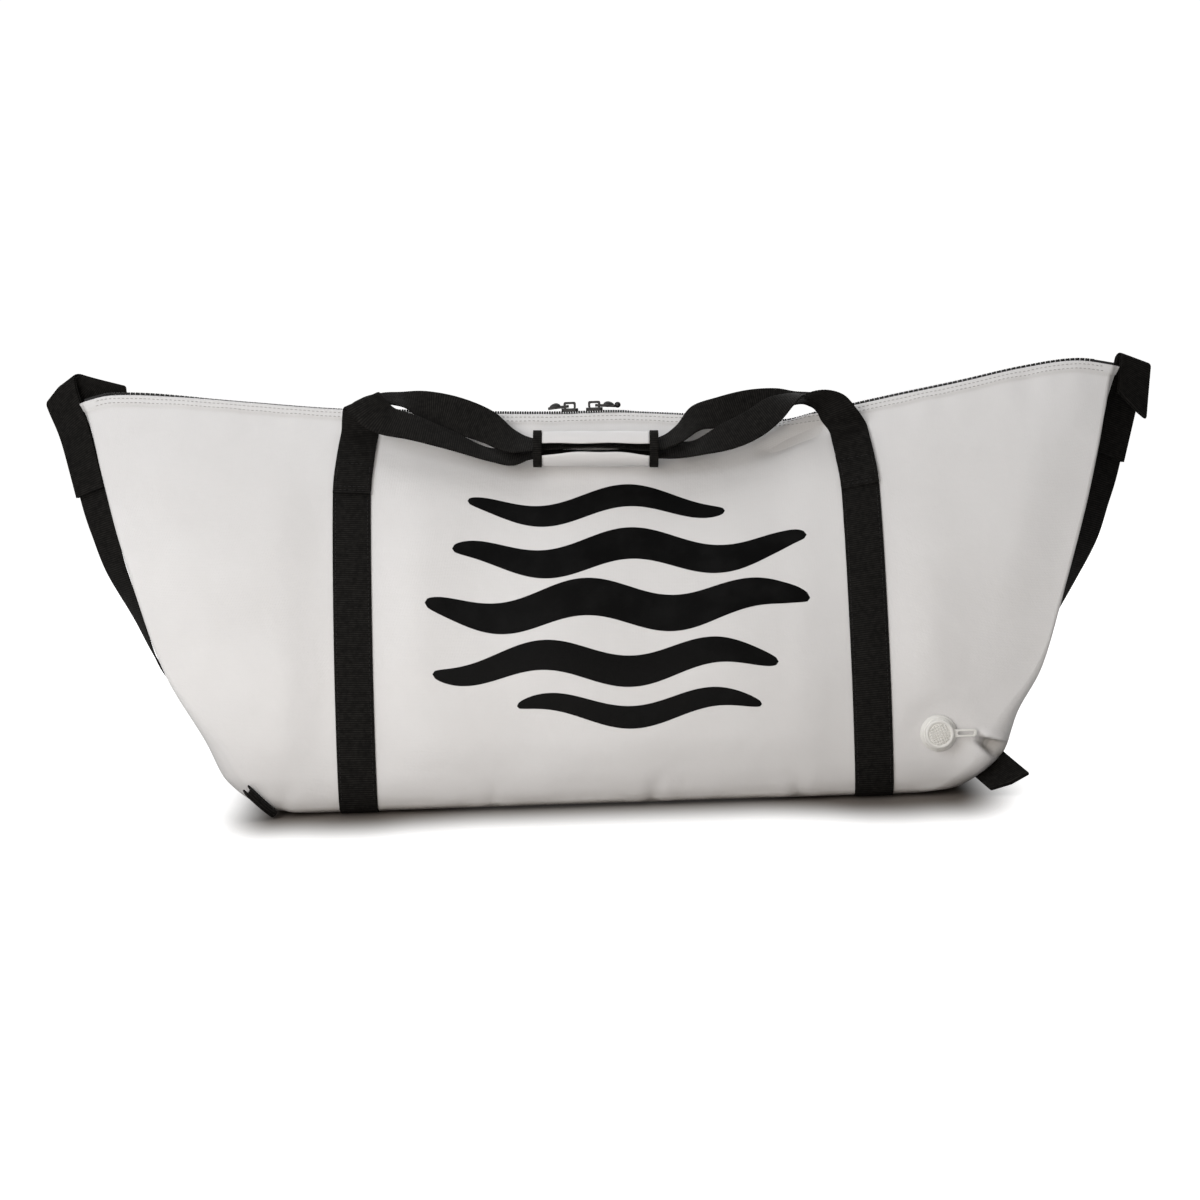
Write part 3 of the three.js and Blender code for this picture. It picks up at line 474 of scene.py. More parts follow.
def tube_faces(rows, columns):
    """Faces of a tube of closed rings with capped ends."""
    last = (rows - 1) * columns
    return ring_faces(rows, columns) + [list(range(columns))[::-1], list(range(last, last + columns))]


# Section of a webbing band: across as a share of its half width, and up as a share of its half thickness.
BAND_SECTION = np.array([
    (-0.985, 0.7), (-0.93, 1), (-0.5, 1), (0, 1), (0.5, 1), (0.93, 1), (0.985, 0.7),
    (1, 0), (0.985, -0.7), (0.93, -1), (0, -1), (-0.93, -1), (-0.985, -0.7), (-1, 0),
])
BAND_RIB = 0.32  # depth of the ribs, as a share of the half thickness


def band_mesh(columns, thick, rib_pitch, rib=BAND_RIB):
    """The shape of a woven band with cross ribs; columns are points across, along it."""
    section = BAND_SECTION
    rows, far = resampled(np.asarray(columns, float), rib_pitch / 2)
    count, wide = rows.shape[:2]
    across = unit(rows[:, -1] - rows[:, 0])
    along = unit(np.gradient(rows.mean(axis=1), axis=0))
    up = unit(np.cross(across, along))
    ridge = 1 - rib * (np.arange(count) % 2)[:, None]
    place = (section[:, 0] + 1) / 2 * (wide - 1)
    low = np.clip(np.floor(place).astype(int), 0, wide - 2)
    part = (place - low)[None, :, None]
    middle = rows[:, low] * (1 - part) + rows[:, low + 1] * part
    points = middle + up[:, None] * (section[:, 1] * ridge)[..., None] * thick / 2
    half = np.linalg.norm(rows[:, -1] - rows[:, 0], axis=1).mean() / 2
    uv = np.stack(np.broadcast_arrays(section[None, :, 0] * half, far[:, None]), -1)
    faces = [face[::-1] for face in tube_faces(count, len(section))]
    return points.reshape(-1, 3), faces, uv.reshape(-1, 2)


def joined(parts):
    """Several (points, faces, uv) as one."""
    points, faces, uvs, start = [], [], [], 0
    for part_points, part_faces, part_uv in parts:
        points.append(part_points)
        uvs.append(part_uv)
        faces += [[i + start for i in face] for face in part_faces]
        start += len(part_points)
    return np.concatenate(points), faces, np.concatenate(uvs)


def copies(template, centres, xs, ys, zs):
    """Copies of a small template (points, faces), each in its own axes."""
    points, faces = template
    n, k = len(centres), len(points)
    placed = centres[:, None] + points[None, :, :1] * xs[:, None]
    placed = placed + points[None, :, 1:2] * ys[:, None] + points[None, :, 2:] * zs[:, None]
    made = [[i + c * k for i in face] for c in range(n) for face in faces]
    return placed.reshape(-1, 3), made, np.tile(points[:, :2], (n, 1))


def bead(long, wide, high):
    """A stitch: a short thread that dips into the cloth at both ends."""
    sides, points = STITCH_SIDES, [(-long / 2, 0, -high * 0.5)]
    turn = np.linspace(0, math.tau, sides, endpoint=False)
    for at, size in ((-0.36, 0.75), (0, 1), (0.36, 0.75)):
        lift = high * (0.35 - abs(at))
        across, up = np.cos(turn) * wide / 2 * size, np.sin(turn) * high / 2 * size + lift
        points += [(at * long, *place) for place in zip(across, up)]
    points.append((long / 2, 0, -high * 0.5))
    end, last = len(points) - 1, 1 + 2 * sides
    faces = [[0, 1 + (i + 1) % sides, 1 + i] for i in range(sides)]
    faces += [[i + 1 for i in face] for face in ring_faces(3, sides)]
    faces += [[end, last + i, last + (i + 1) % sides] for i in range(sides)]
    return np.array(points), faces


def sewn(x, share, side, lift):
    """Stitches along a line on the front or back, lifted off it."""
    size = bpy.context.scene.bag_sizes
    path = face_point(x, share, side, lift)
    rows, _ = resampled(np.stack([path, path + face_normal(x, share, side)], 1), size.stitch_pitch / MM)
    centres, up = rows[:, 0], unit(rows[:, 1] - rows[:, 0])
    along = unit(np.gradient(centres, axis=0))
    across = unit(np.cross(up, along))
    centres, along, across = (a[1:-1] for a in (centres, along, across))
    stitch = bead(size.stitch_long / MM, STITCH_WIDE, STITCH_HIGH)
    return copies(stitch, centres, along, across, unit(np.cross(along, across)))


def lathe(profile, sides, closed=False):
    """A turned piece about +Z from (radius, height) rows, closed on itself or capped."""
    turn = np.linspace(0, math.tau, sides, endpoint=False)
    rows = np.array(profile, float)
    points = [rows[:, :1] * np.cos(turn), rows[:, :1] * np.sin(turn), np.repeat(rows[:, 1:], sides, axis=1)]
    points = np.stack(points, -1).reshape(-1, 3)
    if closed:
        last = (len(rows) - 1) * sides
        faces = ring_faces(len(rows), sides)
        faces += [[last + i, last + (i + 1) % sides, (i + 1) % sides, i] for i in range(sides)]
    else:
        faces = tube_faces(len(rows), sides)
    return points, faces, points[:, :2].copy()


def boxed(size, round_by):
    """A small block with rounded edges, as (points, faces)."""
    made = bmesh.new()
    bmesh.ops.create_cube(made, size=1)
    bmesh.ops.scale(made, vec=size, verts=made.verts)
    bmesh.ops.bevel(made, geom=made.edges[:], offset=round_by, segments=1, affect="EDGES", profile=0.6)
    made.verts.index_update()
    points = np.array([v.co[:] for v in made.verts])
    faces = [[v.index for v in f.verts] for f in made.faces]
    made.free()
    return points, faces


# Materials


def plug(tree, sockets, values):
    """Sets a node's inputs, each to a value or to another node's output."""
    for key, value in values.items():
        if isinstance(value, bpy.types.NodeSocket):
            tree.links.new(value, sockets[key])
        else:
            sockets[key].default_value = value


def node(tree, kind, inputs=None, **settings):
    """A node with its settings and its inputs."""
    made = tree.nodes.new(kind)
    for key, value in settings.items():
        setattr(made, key, value)
    plug(tree, made.inputs, inputs or {})
    return made


def math_node(tree, operation, *values):
    return node(tree, "ShaderNodeMath", dict(enumerate(values)), operation=operation).outputs[0]


def times(tree, a, b):
    return math_node(tree, "MULTIPLY", a, b)


def blend_colour(tree, factor, a, b):
    """From colour a to colour b, each a tint or another node's output."""
    made = node(tree, "ShaderNodeMix", data_type="RGBA")
    a, b = (value if isinstance(value, bpy.types.NodeSocket) else (*value, 1) for value in (a, b))
    sockets = {socket.identifier: socket for socket in made.inputs}
    plug(tree, sockets, {"Factor_Float": factor, "A_Color": a, "B_Color": b})
    return next(s for s in made.outputs if s.identifier == "Result_Color")


def noise(tree, vector, scale, detail=3.0, roughness=0.5):
    inputs = {"Vector": vector, "Scale": scale, "Detail": detail, "Roughness": roughness}
    return node(tree, "ShaderNodeTexNoise", inputs).outputs["Fac"]


def waves(tree, vector, pitch, direction, distortion):
    """Bands a pitch apart, in metres."""
    inputs = {"Vector": vector, "Scale": math.tau / 20 / pitch, "Distortion": distortion, "Detail": 1.0}
    made = node(tree, "ShaderNodeTexWave", inputs, wave_type="BANDS", bands_direction=direction)
    return made.outputs["Fac"]


def ranged(tree, value, low, high, to_low=0.0, to_high=1.0):
    inputs = {"Value": value, "From Min": low, "From Max": high, "To Min": to_low, "To Max": to_high}
    return node(tree, "ShaderNodeMapRange", inputs, interpolation_type="SMOOTHSTEP").outputs["Result"]


def bump(tree, height, distance, strength, below=None):
    inputs = {"Height": height, "Distance": distance, "Strength": strength}
    if below is not None:
        inputs["Normal"] = below
    return node(tree, "ShaderNodeBump", inputs).outputs["Normal"]


def stored(tree, name):
    """A value marked on the points of a piece."""
    return node(tree, "ShaderNodeAttribute", attribute_name=name).outputs["Fac"]


def started(name):
    """A new material, its tree, and its object and cloth coordinates."""
    material = bpy.data.materials.new(name)
    material.use_nodes = True
    coordinates = node(material.node_tree, "ShaderNodeTexCoord").outputs
    return material, material.node_tree, coordinates["Object"], coordinates["UV"]


def dressed(material, tint, roughness, normal=None, **others):
    """Plugs the looks into a material's shader; words of other inputs' names are joined by underscores."""
    inputs = {"Base Color": tint, "Roughness": roughness}
    if normal is not None:
        inputs["Normal"] = normal
    inputs.update({key.replace("_", " "): value for key, value in others.items()})
    tree = material.node_tree
    plug(tree, tree.nodes["Principled BSDF"].inputs, inputs)
    return material


def scrim(tree, cloth):
    """The woven threads under the vinyl's skin."""
    warp, weft = (waves(tree, cloth, SCRIM_PITCH, direction, 0.4) for direction in "XY")
    return math_node(tree, "MAXIMUM", warp, weft)


def vinyl(key):
    """White coated cloth: a woven scrim that shows through a satin skin, a little grey just under the hem and
    towards the bottom, and painted shade in the pocket by the drain.
    """
    colour = bpy.context.scene.bag_colours
    material, tree, place, cloth = started(key)
    weave = scrim(tree, cloth)
    cloud = noise(tree, place, 5.5, 4, 0.55)
    tint = blend_colour(tree, ranged(tree, cloud, 0.3, 0.7), colour.vinyl, colour.vinyl_shade)
    tint = blend_colour(tree, times(tree, weave, 0.09), tint, colour.vinyl_scrim)
    # Painted shade in the pocket by the drain, and darker grey just under the hem and towards the bottom,
    # where the body's points are marked.
    grey_and_shade = times(tree, stored(tree, "seam"), ranged(tree, noise(tree, place, 38, 4), 0.25, 0.75, 0.25, 0.6))
    tint = blend_colour(tree, grey_and_shade, tint, colour.vinyl_grey_and_shade)
    gloss = ranged(tree, noise(tree, place, 26, 3), 0.2, 0.8, 0.4, 0.52)
    # Soft unevenness of the padding, wrinkles of the skin, then the weave's grain.
    uneven = bump(tree, noise(tree, place, 16, 2), 0.005, 0.3)
    uneven = bump(tree, noise(tree, place, 60, 4, 0.6), 0.002, 0.3, uneven)
    grain = math_node(tree, "ADD", weave, times(tree, noise(tree, cloth, 420, 2), 0.6))
    normal = bump(tree, grain, 0.0002, 0.42, uneven)
    return dressed(
        material, tint, gloss, normal, Specular_IOR_Level=0.42, Coat_Weight=0.08, Coat_Roughness=0.3
    )


def webbing(key):
    """Black polyester webbing: cross ribs of twisted yarn, worn a little grey on the crests."""
    colour = bpy.context.scene.bag_colours
    material, tree, place, cloth = started(key)
    ribs = waves(tree, cloth, bpy.context.scene.bag_sizes.rib_pitch, "Y", 0.3)
    yarns = waves(tree, cloth, YARN_PITCH, "X", 0.8)
    fuzz = noise(tree, cloth, 900, 3, 0.7)
    worn = times(tree, ribs, ranged(tree, noise(tree, place, 230, 3), 0.1, 0.8))
    tint = blend_colour(tree, worn, colour.webbing, colour.webbing_worn)
    tint = blend_colour(tree, times(tree, fuzz, 0.35), tint, colour.webbing_fuzz)
    cord = math_node(tree, "ADD", times(tree, yarns, ribs), times(tree, fuzz, 0.4))
    return dressed(
        material, tint, ranged(tree, fuzz, 0.2, 0.8, 0.66, 0.86), bump(tree, cord, 0.0003, 0.5),
        Specular_IOR_Level=0.06, Sheen_Weight=0.02, Sheen_Roughness=0.45, Sheen_Tint=(0.6, 0.58, 0.55, 1),
    )


def thread(key, tint, gloss):
    """Twisted sewing thread."""
    material, tree, place, _ = started(key)
    twist = waves(tree, place, THREAD_PITCH, "DIAGONAL", 1.5)
    shaded = blend_colour(tree, twist, tint, [c * 0.72 for c in tint])
    return dressed(material, shaded, gloss, bump(tree, twist, 0.0002, 0.5))


def moulded(key, tint, spot_tint, gloss):
    """Moulded plastic or enamelled metal with a faint orange-peel grain, scuffed spots, and painted shade on
    a recess that a piece marks.
    """
    material, tree, place, _ = started(key)
    cloud = noise(tree, place, 70, 4, 0.6)
    clean = blend_colour(tree, ranged(tree, cloud, 0.4, 0.7), tint, spot_tint)
    # Painted shade: a marked recess is painted darker.
    shaded = blend_colour(tree, stored(tree, "painted_recess_shade"), clean, [c * 0.55 for c in tint])
    peel = bump(tree, noise(tree, place, 900, 2), 0.0002, 0.12)
    return dressed(material, shaded, ranged(tree, cloud, 0.3, 0.7, gloss, gloss + 0.14), peel)


def zip_tape(key):
    """Black herringbone tape."""
    material, tree, _, cloth = started(key)
    twill = waves(tree, cloth, TWILL_PITCH, "DIAGONAL", 0.3)
    tint = blend_colour(tree, twill, (0.010, 0.010, 0.011), (0.026, 0.025, 0.026))
    return dressed(material, tint, 0.8, bump(tree, twill, 0.0002, 0.5))


def ink(key):
    """Black screen print on the vinyl, with the scrim showing faintly in its gloss."""
    colour = bpy.context.scene.bag_colours
    material, tree, place, cloth = started(key)
    cloud = noise(tree, place, 40, 4)
    tint = blend_colour(tree, ranged(tree, cloud, 0.4, 0.8), colour.ink, colour.ink_worn)
    gloss = ranged(tree, cloud, 0.3, 0.7, 0.42, 0.56)
    normal = bump(tree, scrim(tree, cloth), 0.0002, 0.25)
    return dressed(material, tint, gloss, normal, Specular_IOR_Level=0.07)


def floor_white(key):
    """Pale studio floor with the bag's soft contact shadow painted into its colour, evened out to white away
    from the bag by a glow that only the camera sees.
    """
    colour = bpy.context.scene.bag_colours
    material, tree, place, _ = started(key)

    def less(a, b):
        return math_node(tree, "SUBTRACT", a, b)

    def size_of(value):
        return math_node(tree, "ABSOLUTE", value)

    # Painted shadow: distance from the foot of the bag, a long rectangle, counted slower towards the front.
    x, y, _ = node(tree, "ShaderNodeSeparateXYZ", {0: place}).outputs
    beside, behind = less(size_of(x), FOOT[0]), less(y, FOOT[1])
    ahead = less(times(tree, y, -1.0), FOOT[1])
    deep = math_node(tree, "MAXIMUM", times(tree, ahead, SLOW_AHEAD), times(tree, behind, FAST_BEHIND))
    away = node(tree, "ShaderNodeCombineXYZ", {0: times(tree, beside, FAST_BESIDE), 1: deep}).outputs[0]
    away = node(tree, "ShaderNodeVectorMath", {0: away, 1: (0, 0, 0)}, operation="MAXIMUM").outputs[0]
    far = node(tree, "ShaderNodeVectorMath", {0: away}, operation="LENGTH").outputs["Value"]
    # The painted shade is shorter under the middle, and longer by the black straps and under the drain end.
    between = size_of(less(x, STRAP_SHIFT * MM))
    by_strap = size_of(less(between, STRAP_X * MM))
    far = math_node(tree, "ADD", far, ranged(tree, between, 0.12, 0.24, 0.01, -0.003))
    far = less(far, ranged(tree, by_strap, 0.008, 0.06, 0.006, 0.0))
    far = less(far, ranged(tree, x, 0.15, 0.33, 0.0, 0.013))
    clear = ranged(tree, far, 0.0, SHADE_REACH)
    tint = blend_colour(tree, clear, colour.floor_shade, colour.floor)
    tint = blend_colour(tree, times(tree, noise(tree, place, 3, 2), 0.03), tint, colour.floor_shade)
    seen = node(tree, "ShaderNodeLightPath").outputs["Is Camera Ray"]
    glow = times(tree, seen, times(tree, clear, FLOOR_GLOW))
    return dressed(
        material, tint, 0.9, Specular_IOR_Level=0.05, Emission_Color=(1, 1, 1, 1), Emission_Strength=glow
    )


def drain_plastic(key):
    tint = bpy.context.scene.bag_colours.drain
    return moulded(key, tint, [c * 0.93 for c in tint], 0.34)


FINISHES = {
    "white_vinyl": vinyl,
    "black_webbing": webbing,
    "white_thread": lambda key: thread(key, bpy.context.scene.bag_colours.thread, 0.55),
    "black_thread": lambda key: thread(key, (0.0075, 0.007, 0.007), 0.75),
    "drain_plastic": drain_plastic,
    "zip_plastic": lambda key: moulded(key, (0.007, 0.007, 0.0075), (0.013, 0.0125, 0.013), 0.38),
    "black_enamel": lambda key: moulded(key, (0.006, 0.006, 0.0065), (0.014, 0.013, 0.013), 0.4),
    "zip_tape": zip_tape,
    "print_ink": ink,
    "floor_white": floor_white,
}


def finish_of(key):
    """The material of that name, made once."""
    return bpy.data.materials.get(key) or FINISHES[key](key)


# Sizes and colours that a user would change


def length(name, description, default):
    return bpy.props.FloatProperty(
        name=name, description=description, default=default, min=0.0, unit="LENGTH", precision=4
    )


def tint_of(name, description, default):
    return bpy.props.FloatVectorProperty(
        name=name, description=description, default=default, min=0.0, max=1.0, size=3, subtype="COLOR"
    )


class BagSizes(bpy.types.PropertyGroup):
    """Sizes of the webbing, the sewing and the zip"""

    webbing_width: length("Webbing width", "Width of the straps and handles", 0.038)
    webbing_thick: length("Webbing thickness", "Thickness of the straps and handles", 0.002)
    rib_pitch: length("Rib pitch", "Distance between the webbing's cross ribs", 0.0022)
    stitch_pitch: length("Stitch pitch", "Distance from one stitch to the next", 0.0044)
    stitch_long: length("Stitch length", "Length of thread that shows in a stitch", 0.0031)
    tooth_pitch: length("Tooth pitch", "Distance between the zip's teeth on one side", 0.005)
    print_lift: length("Print thickness", "How far the printed stripes stand off the vinyl", 0.00018)


class BagColours(bpy.types.PropertyGroup):
    """Colours of the cloth, thread and floor"""

    vinyl: tint_of("Vinyl", "White of the coated cloth", (0.797, 0.79, 0.79))
    vinyl_shade: tint_of("Vinyl clouds", "Slightly darker clouds in the white", (0.755, 0.745, 0.742))
    vinyl_scrim: tint_of("Scrim", "Woven threads that show through the vinyl", (0.52, 0.51, 0.49))
    # Grey painted under the hem and at the bottom, and painted shade in the pocket by the drain.
    vinyl_grey_and_shade: tint_of("Seam grey", "Dust along the seams", (0.42, 0.40, 0.37))
    # The white thread is painted grey: partly painted shade of its stitch holes.
    thread: tint_of("Thread", "Sewing thread on the vinyl", (0.44, 0.43, 0.42))
    webbing: tint_of("Webbing", "Black of the webbing", (0.0034, 0.0032, 0.003))
    webbing_worn: tint_of("Worn ribs", "Rib crests of the webbing", (0.026, 0.0245, 0.0225))
    webbing_fuzz: tint_of("Fuzz", "Fine fibres on the webbing", (0.009, 0.0085, 0.008))
    drain: tint_of("Drain plastic", "Off-white of the drain plug", (0.74, 0.73, 0.70))
    ink: tint_of("Print", "Ink of the stripes on the front", (0.0025, 0.0025, 0.0025))
    ink_worn: tint_of("Worn print", "Thin spots of the ink", (0.006, 0.006, 0.006))
    floor: tint_of("Floor", "Pale studio floor", (0.75, 0.745, 0.74))
    # Colour of the painted contact shadow on the floor.
    floor_shade: tint_of("Floor by the bag", "Floor in the bag's soft contact shadow", (0.17, 0.15, 0.132))


def webbing_size():
    """Half the width of the webbing, and its thickness, in millimetres."""
    size = bpy.context.scene.bag_sizes
    return size.webbing_width / MM / 2, size.webbing_thick / MM


def webbing_piece(name, columns, replaced, thick=None):
    size = bpy.context.scene.bag_sizes
    shape = band_mesh(columns, thick or size.webbing_thick / MM, size.rib_pitch / MM)
    new_piece(name, shape, finish_of("black_webbing"), "webbing", replaced)


class FISHBAG_OT_body(bpy.types.Operator):
    """Padded vinyl body with its folded hem, open along the zip"""

    bl_idname = "fishbag.body"
    bl_label = "Bag body"

    def execute(self, context):
        bare = np.stack([bare_ring(share) for share in SHARES])
        sideways = np.roll(bare, -1, axis=1) - np.roll(bare, 1, axis=1)
        normal = unit(np.cross(sideways, np.gradient(bare, axis=0)))
        outer = bare + normal * self.swelling(bare)[..., None]
        lining = self.lining()
        rolled = (outer[-1] + lining[0]) / 2 + (0, 0, HEM_ROLL)
        bottom_middle, floor_middle = outer[0].mean(axis=0), lining[-1].mean(axis=0)
        under = [mix(outer[0], bottom_middle, t) for t in (0.7, 0.35)]
        inside = [mix(lining[-1], floor_middle, t) for t in (0.35, 0.7)]
        rings = np.stack([*under, *outer, rolled, *lining, *inside])
        count, columns = rings.shape[:2]
        points = np.concatenate([*rings, [bottom_middle, floor_middle]])
        faces, last = ring_faces(count, columns), (count - 1) * columns
        low, high = len(points) - 2, len(points) - 1
        for i in range(columns):
            n = (i + 1) % columns
            faces += [[n, i, low], [last + i, last + n, high]]
        girth, rise = distances(outer[GIRTH_ROW]), distances(rings[:, RISE_COLUMN])
        uv = np.stack(np.broadcast_arrays(girth[None, :], rise[:, None]), -1).reshape(-1, 2)
        uv = np.concatenate([uv, [[0, 0], [0, rise[-1]]]])
        body = new_piece("bag_body_vinyl", (points, faces, uv), finish_of("white_vinyl"), "vinyl", "bag_body")
        # Marks for the vinyl: painted shade in the pocket by the drain, and darker grey just under the hem
        # and towards the bottom.
        worn, seam = np.zeros(len(points), np.float32), self.seam_grey_and_pocket_shade(bare)
        start = len(under) * columns
        worn[start : start + seam.size] = seam.ravel()
        mark(body, "seam", worn)
        self.cut_drain(body)
        return {"FINISHED"}

    def swelling(self, bare):
        """How far each point of the outer skin is pushed out."""
        share, half = SHARES[:, None], bare.shape[1] // 2
        out = np.zeros(bare.shape[:2])
        for first, side in ((0, -1), (half, 1)):
            face = slice(first, first + FACE_COLUMNS + 1)
            end = slice(face.stop, first + half)
            out[:, face] = swell(bare[:, face, 0], share, side)
            out[:, end] = self.end_swelling(bare[:, end], share, -side)
        return out * smooth(0, 0.006, share)

    def end_swelling(self, skin, share, way):
        """An end is drawn in along its middle and has gentle folds. Its corners take the panels' swelling."""
        x, across = skin[..., 0], skin[..., 1] / half_depth(share)
        gusset = plateau(share, 0.08, 0.3, 0.8, 0.98) * (1 - smooth(0.25, 0.9, np.abs(across)))
        folds = ripple(skin[..., 1], skin[..., 2] * 0.6, 51 + way, 60, 200)
        edge = (1 - smooth(0.8, 0.97, np.abs(across))) * smooth(0.05, 0.2, share)
        edge = edge * (1 - smooth(0.85, 1, share))
        own = END_FOLDS * folds * edge - GUSSET_DEPTH * gusset + hem_fold(share)
        turn, reach = corner_radius(share, half_depth(share)), panel_edge(share, x)
        over = 1 - smooth(0.5, 1, (np.abs(x) - reach + turn) / turn)
        on_face = np.sign(x) * np.minimum(np.abs(x), reach - 0.1)
        panels = np.where(across < 0, swell(on_face, share, -1), swell(on_face, share, 1))
        return mix(own, panels, over)

    def seam_grey_and_pocket_shade(self, bare):
        """How grey the skin is painted: darker just under the hem's fold and towards the bottom, and painted
        shade in the pocket by the drain.
        """
        share = SHARES[:, None]
        pocket = drain_pocket(bare[..., 0], bare[..., 2])[0] * (bare[..., 1] < 0)
        hem, bottom = 0.4 * hump(below_hem(share) - 11, 2.5), 0.8 * (1 - smooth(0.004, 0.05, share))
        return np.maximum(np.maximum(hem, bottom), 1.5 * pocket)

    def lining(self):
        """Rings of the inner skin, from the hem down to the floor of the hold."""
        rings, wall = [], PADDING * SLANT_FACTOR
        for level in INNER_LEVELS:
            share = mix(FLOOR_SHARE, 1, level)
            thin = float(np.clip((share - HEM_SHARE) / (1 - HEM_SHARE), 0, 1))
            rings.append(bare_ring(share, mix(wall, END_WALL, thin), mix(wall, HEM_THICK, thin)))
        return rings

    def cut_drain(self, body):
        """Opens the wall behind the drain's seat."""
        points, faces, _ = lathe([(DRAIN_HOLE, -16), (DRAIN_HOLE, 16)], 32)
        cutter = bpy.data.meshes.new("drain_hole")
        cutter.from_pydata((in_drain(points) * MM).tolist(), [], faces)
        tool = bpy.data.objects.new("drain_hole", cutter)
        bpy.context.scene.collection.objects.link(tool)
        cut = body.modifiers.new("drain hole", "BOOLEAN")
        cut.operation, cut.object, cut.solver = "DIFFERENCE", tool, "EXACT"
        bpy.context.view_layer.objects.active = body
        bpy.ops.object.modifier_apply(modifier=cut.name)
        bpy.data.objects.remove(tool)


def in_drain(points):
    """Points given along the bag, up it and out of the wall from the middle of the drain, put in place."""
    out = face_normal(DRAIN_X, DRAIN_SHARE, -1)
    along = unit(np.array([1.0, 0, 0]) - out * out[0])
    return bare_face(DRAIN_X, DRAIN_SHARE, -1) + points @ np.stack([along, np.cross(out, along), out])


def rounded_outline(start, end, width, corner):
    """A rounded bar along X, counter-clockwise."""
    half, points = width / 2, []
    places = ((end - corner, half - corner), (start + corner, half - corner))
    places += ((start + corner, corner - half), (end - corner, corner - half))
    for quarter, (x, y) in enumerate(places):
        for a in np.linspace(quarter, quarter + 1, CORNER_STEPS) * math.pi / 2:
            points.append((x + corner * math.cos(a), y + corner * math.sin(a)))
    return np.array(points)


class FISHBAG_OT_drain(bpy.types.Operator):
    """Drain plug: a flanged seat in the wall and a cap with a gripping grid and a finger tab"""

    bl_idname = "fishbag.drain"
    bl_label = "Drain plug"

    def execute(self, context):
        self.moulding("drain_seat_ring", lathe(DRAIN_SEAT, DRAIN_SIDES, closed=True), "drain_seat")
        turned = lathe(DRAIN_CAP, DRAIN_SIDES)
        cap = self.moulding("drain_cap_plug", joined([turned, self.finger_tab(), *self.grid()]), "drain_cap")
        # Painted shade: the sunk face between the ribs, the last two rows that are turned, is painted darker.
        end = len(turned[0])
        dark = np.zeros(len(cap.data.vertices), np.float32)
        dark[end - 2 * DRAIN_SIDES : end] = 1
        mark(cap, "painted_recess_shade", dark)
        return {"FINISHED"}

    def moulding(self, name, shape, replaced):
        points, faces, uv = shape
        piece = new_piece(
            name, (in_drain(points), faces, uv), finish_of("drain_plastic"), "drain_plastic", replaced
        )
        soften(piece, 0.0002, 50)
        return piece

    def finger_tab(self):
        """A bar with a slot through it, bowed towards the wall."""
        outer, slot = rounded_outline(*FINGER_TAB), rounded_outline(*FINGER_SLOT)
        n = len(outer)
        flat = np.concatenate([outer, slot])
        low = FINGER_LOW - 0.9 * ((flat[:, 0] - FINGER_TAB[0]) / 20) ** 2
        points = np.concatenate([np.column_stack([flat, level]) for level in (low, low + FINGER_THICK)])
        faces = []
        for i in range(n):
            j = (i + 1) % n
            faces += [[i, j, j + 2 * n, i + 2 * n], [j + n, i + n, i + 3 * n, j + 3 * n]]
            faces += [[i + 2 * n, j + 2 * n, j + 3 * n, i + 3 * n], [j, i, i + n, j + n]]
        return points, faces, points[:, :2].copy()

    def grid(self):
        """Fine raised ribs across the cap's face, two ways."""
        parts, up = [], np.array([0, 0, 1.0])
        for turn in np.radians(CAP_RIB_TURNS):
            along = np.array([math.cos(turn), math.sin(turn), 0])
            side = np.array([-math.sin(turn), math.cos(turn), 0])
            for off in CAP_RIB_PLACES:
                reach = math.sqrt(CAP_RIB_CIRCLE**2 - off**2)
                bar = boxed((2 * reach, *CAP_RIB_SIZE), CAP_RIB_CORNER)
                centre = side * off + up * CAP_RIB_MIDDLE
                parts.append(copies(bar, *(axis[None] for axis in (centre, along, side, up))))
        return parts


class FISHBAG_OT_seams(bpy.types.Operator):
    """Double row of stitching along the hem"""

    bl_idname = "fishbag.seams"
    bl_label = "Seam stitching"

    def execute(self, context):
        x = np.linspace(-HEM_SEAM, HEM_SEAM, 900)
        runs = [sewn(x, 1 - below / HEM_RUN, side, 0.12) for side in (-1, 1) for below in HEM_ROWS]
        new_piece("seam_stitches", joined(runs), finish_of("white_thread"), "vinyl")
        return {"FINISHED"}


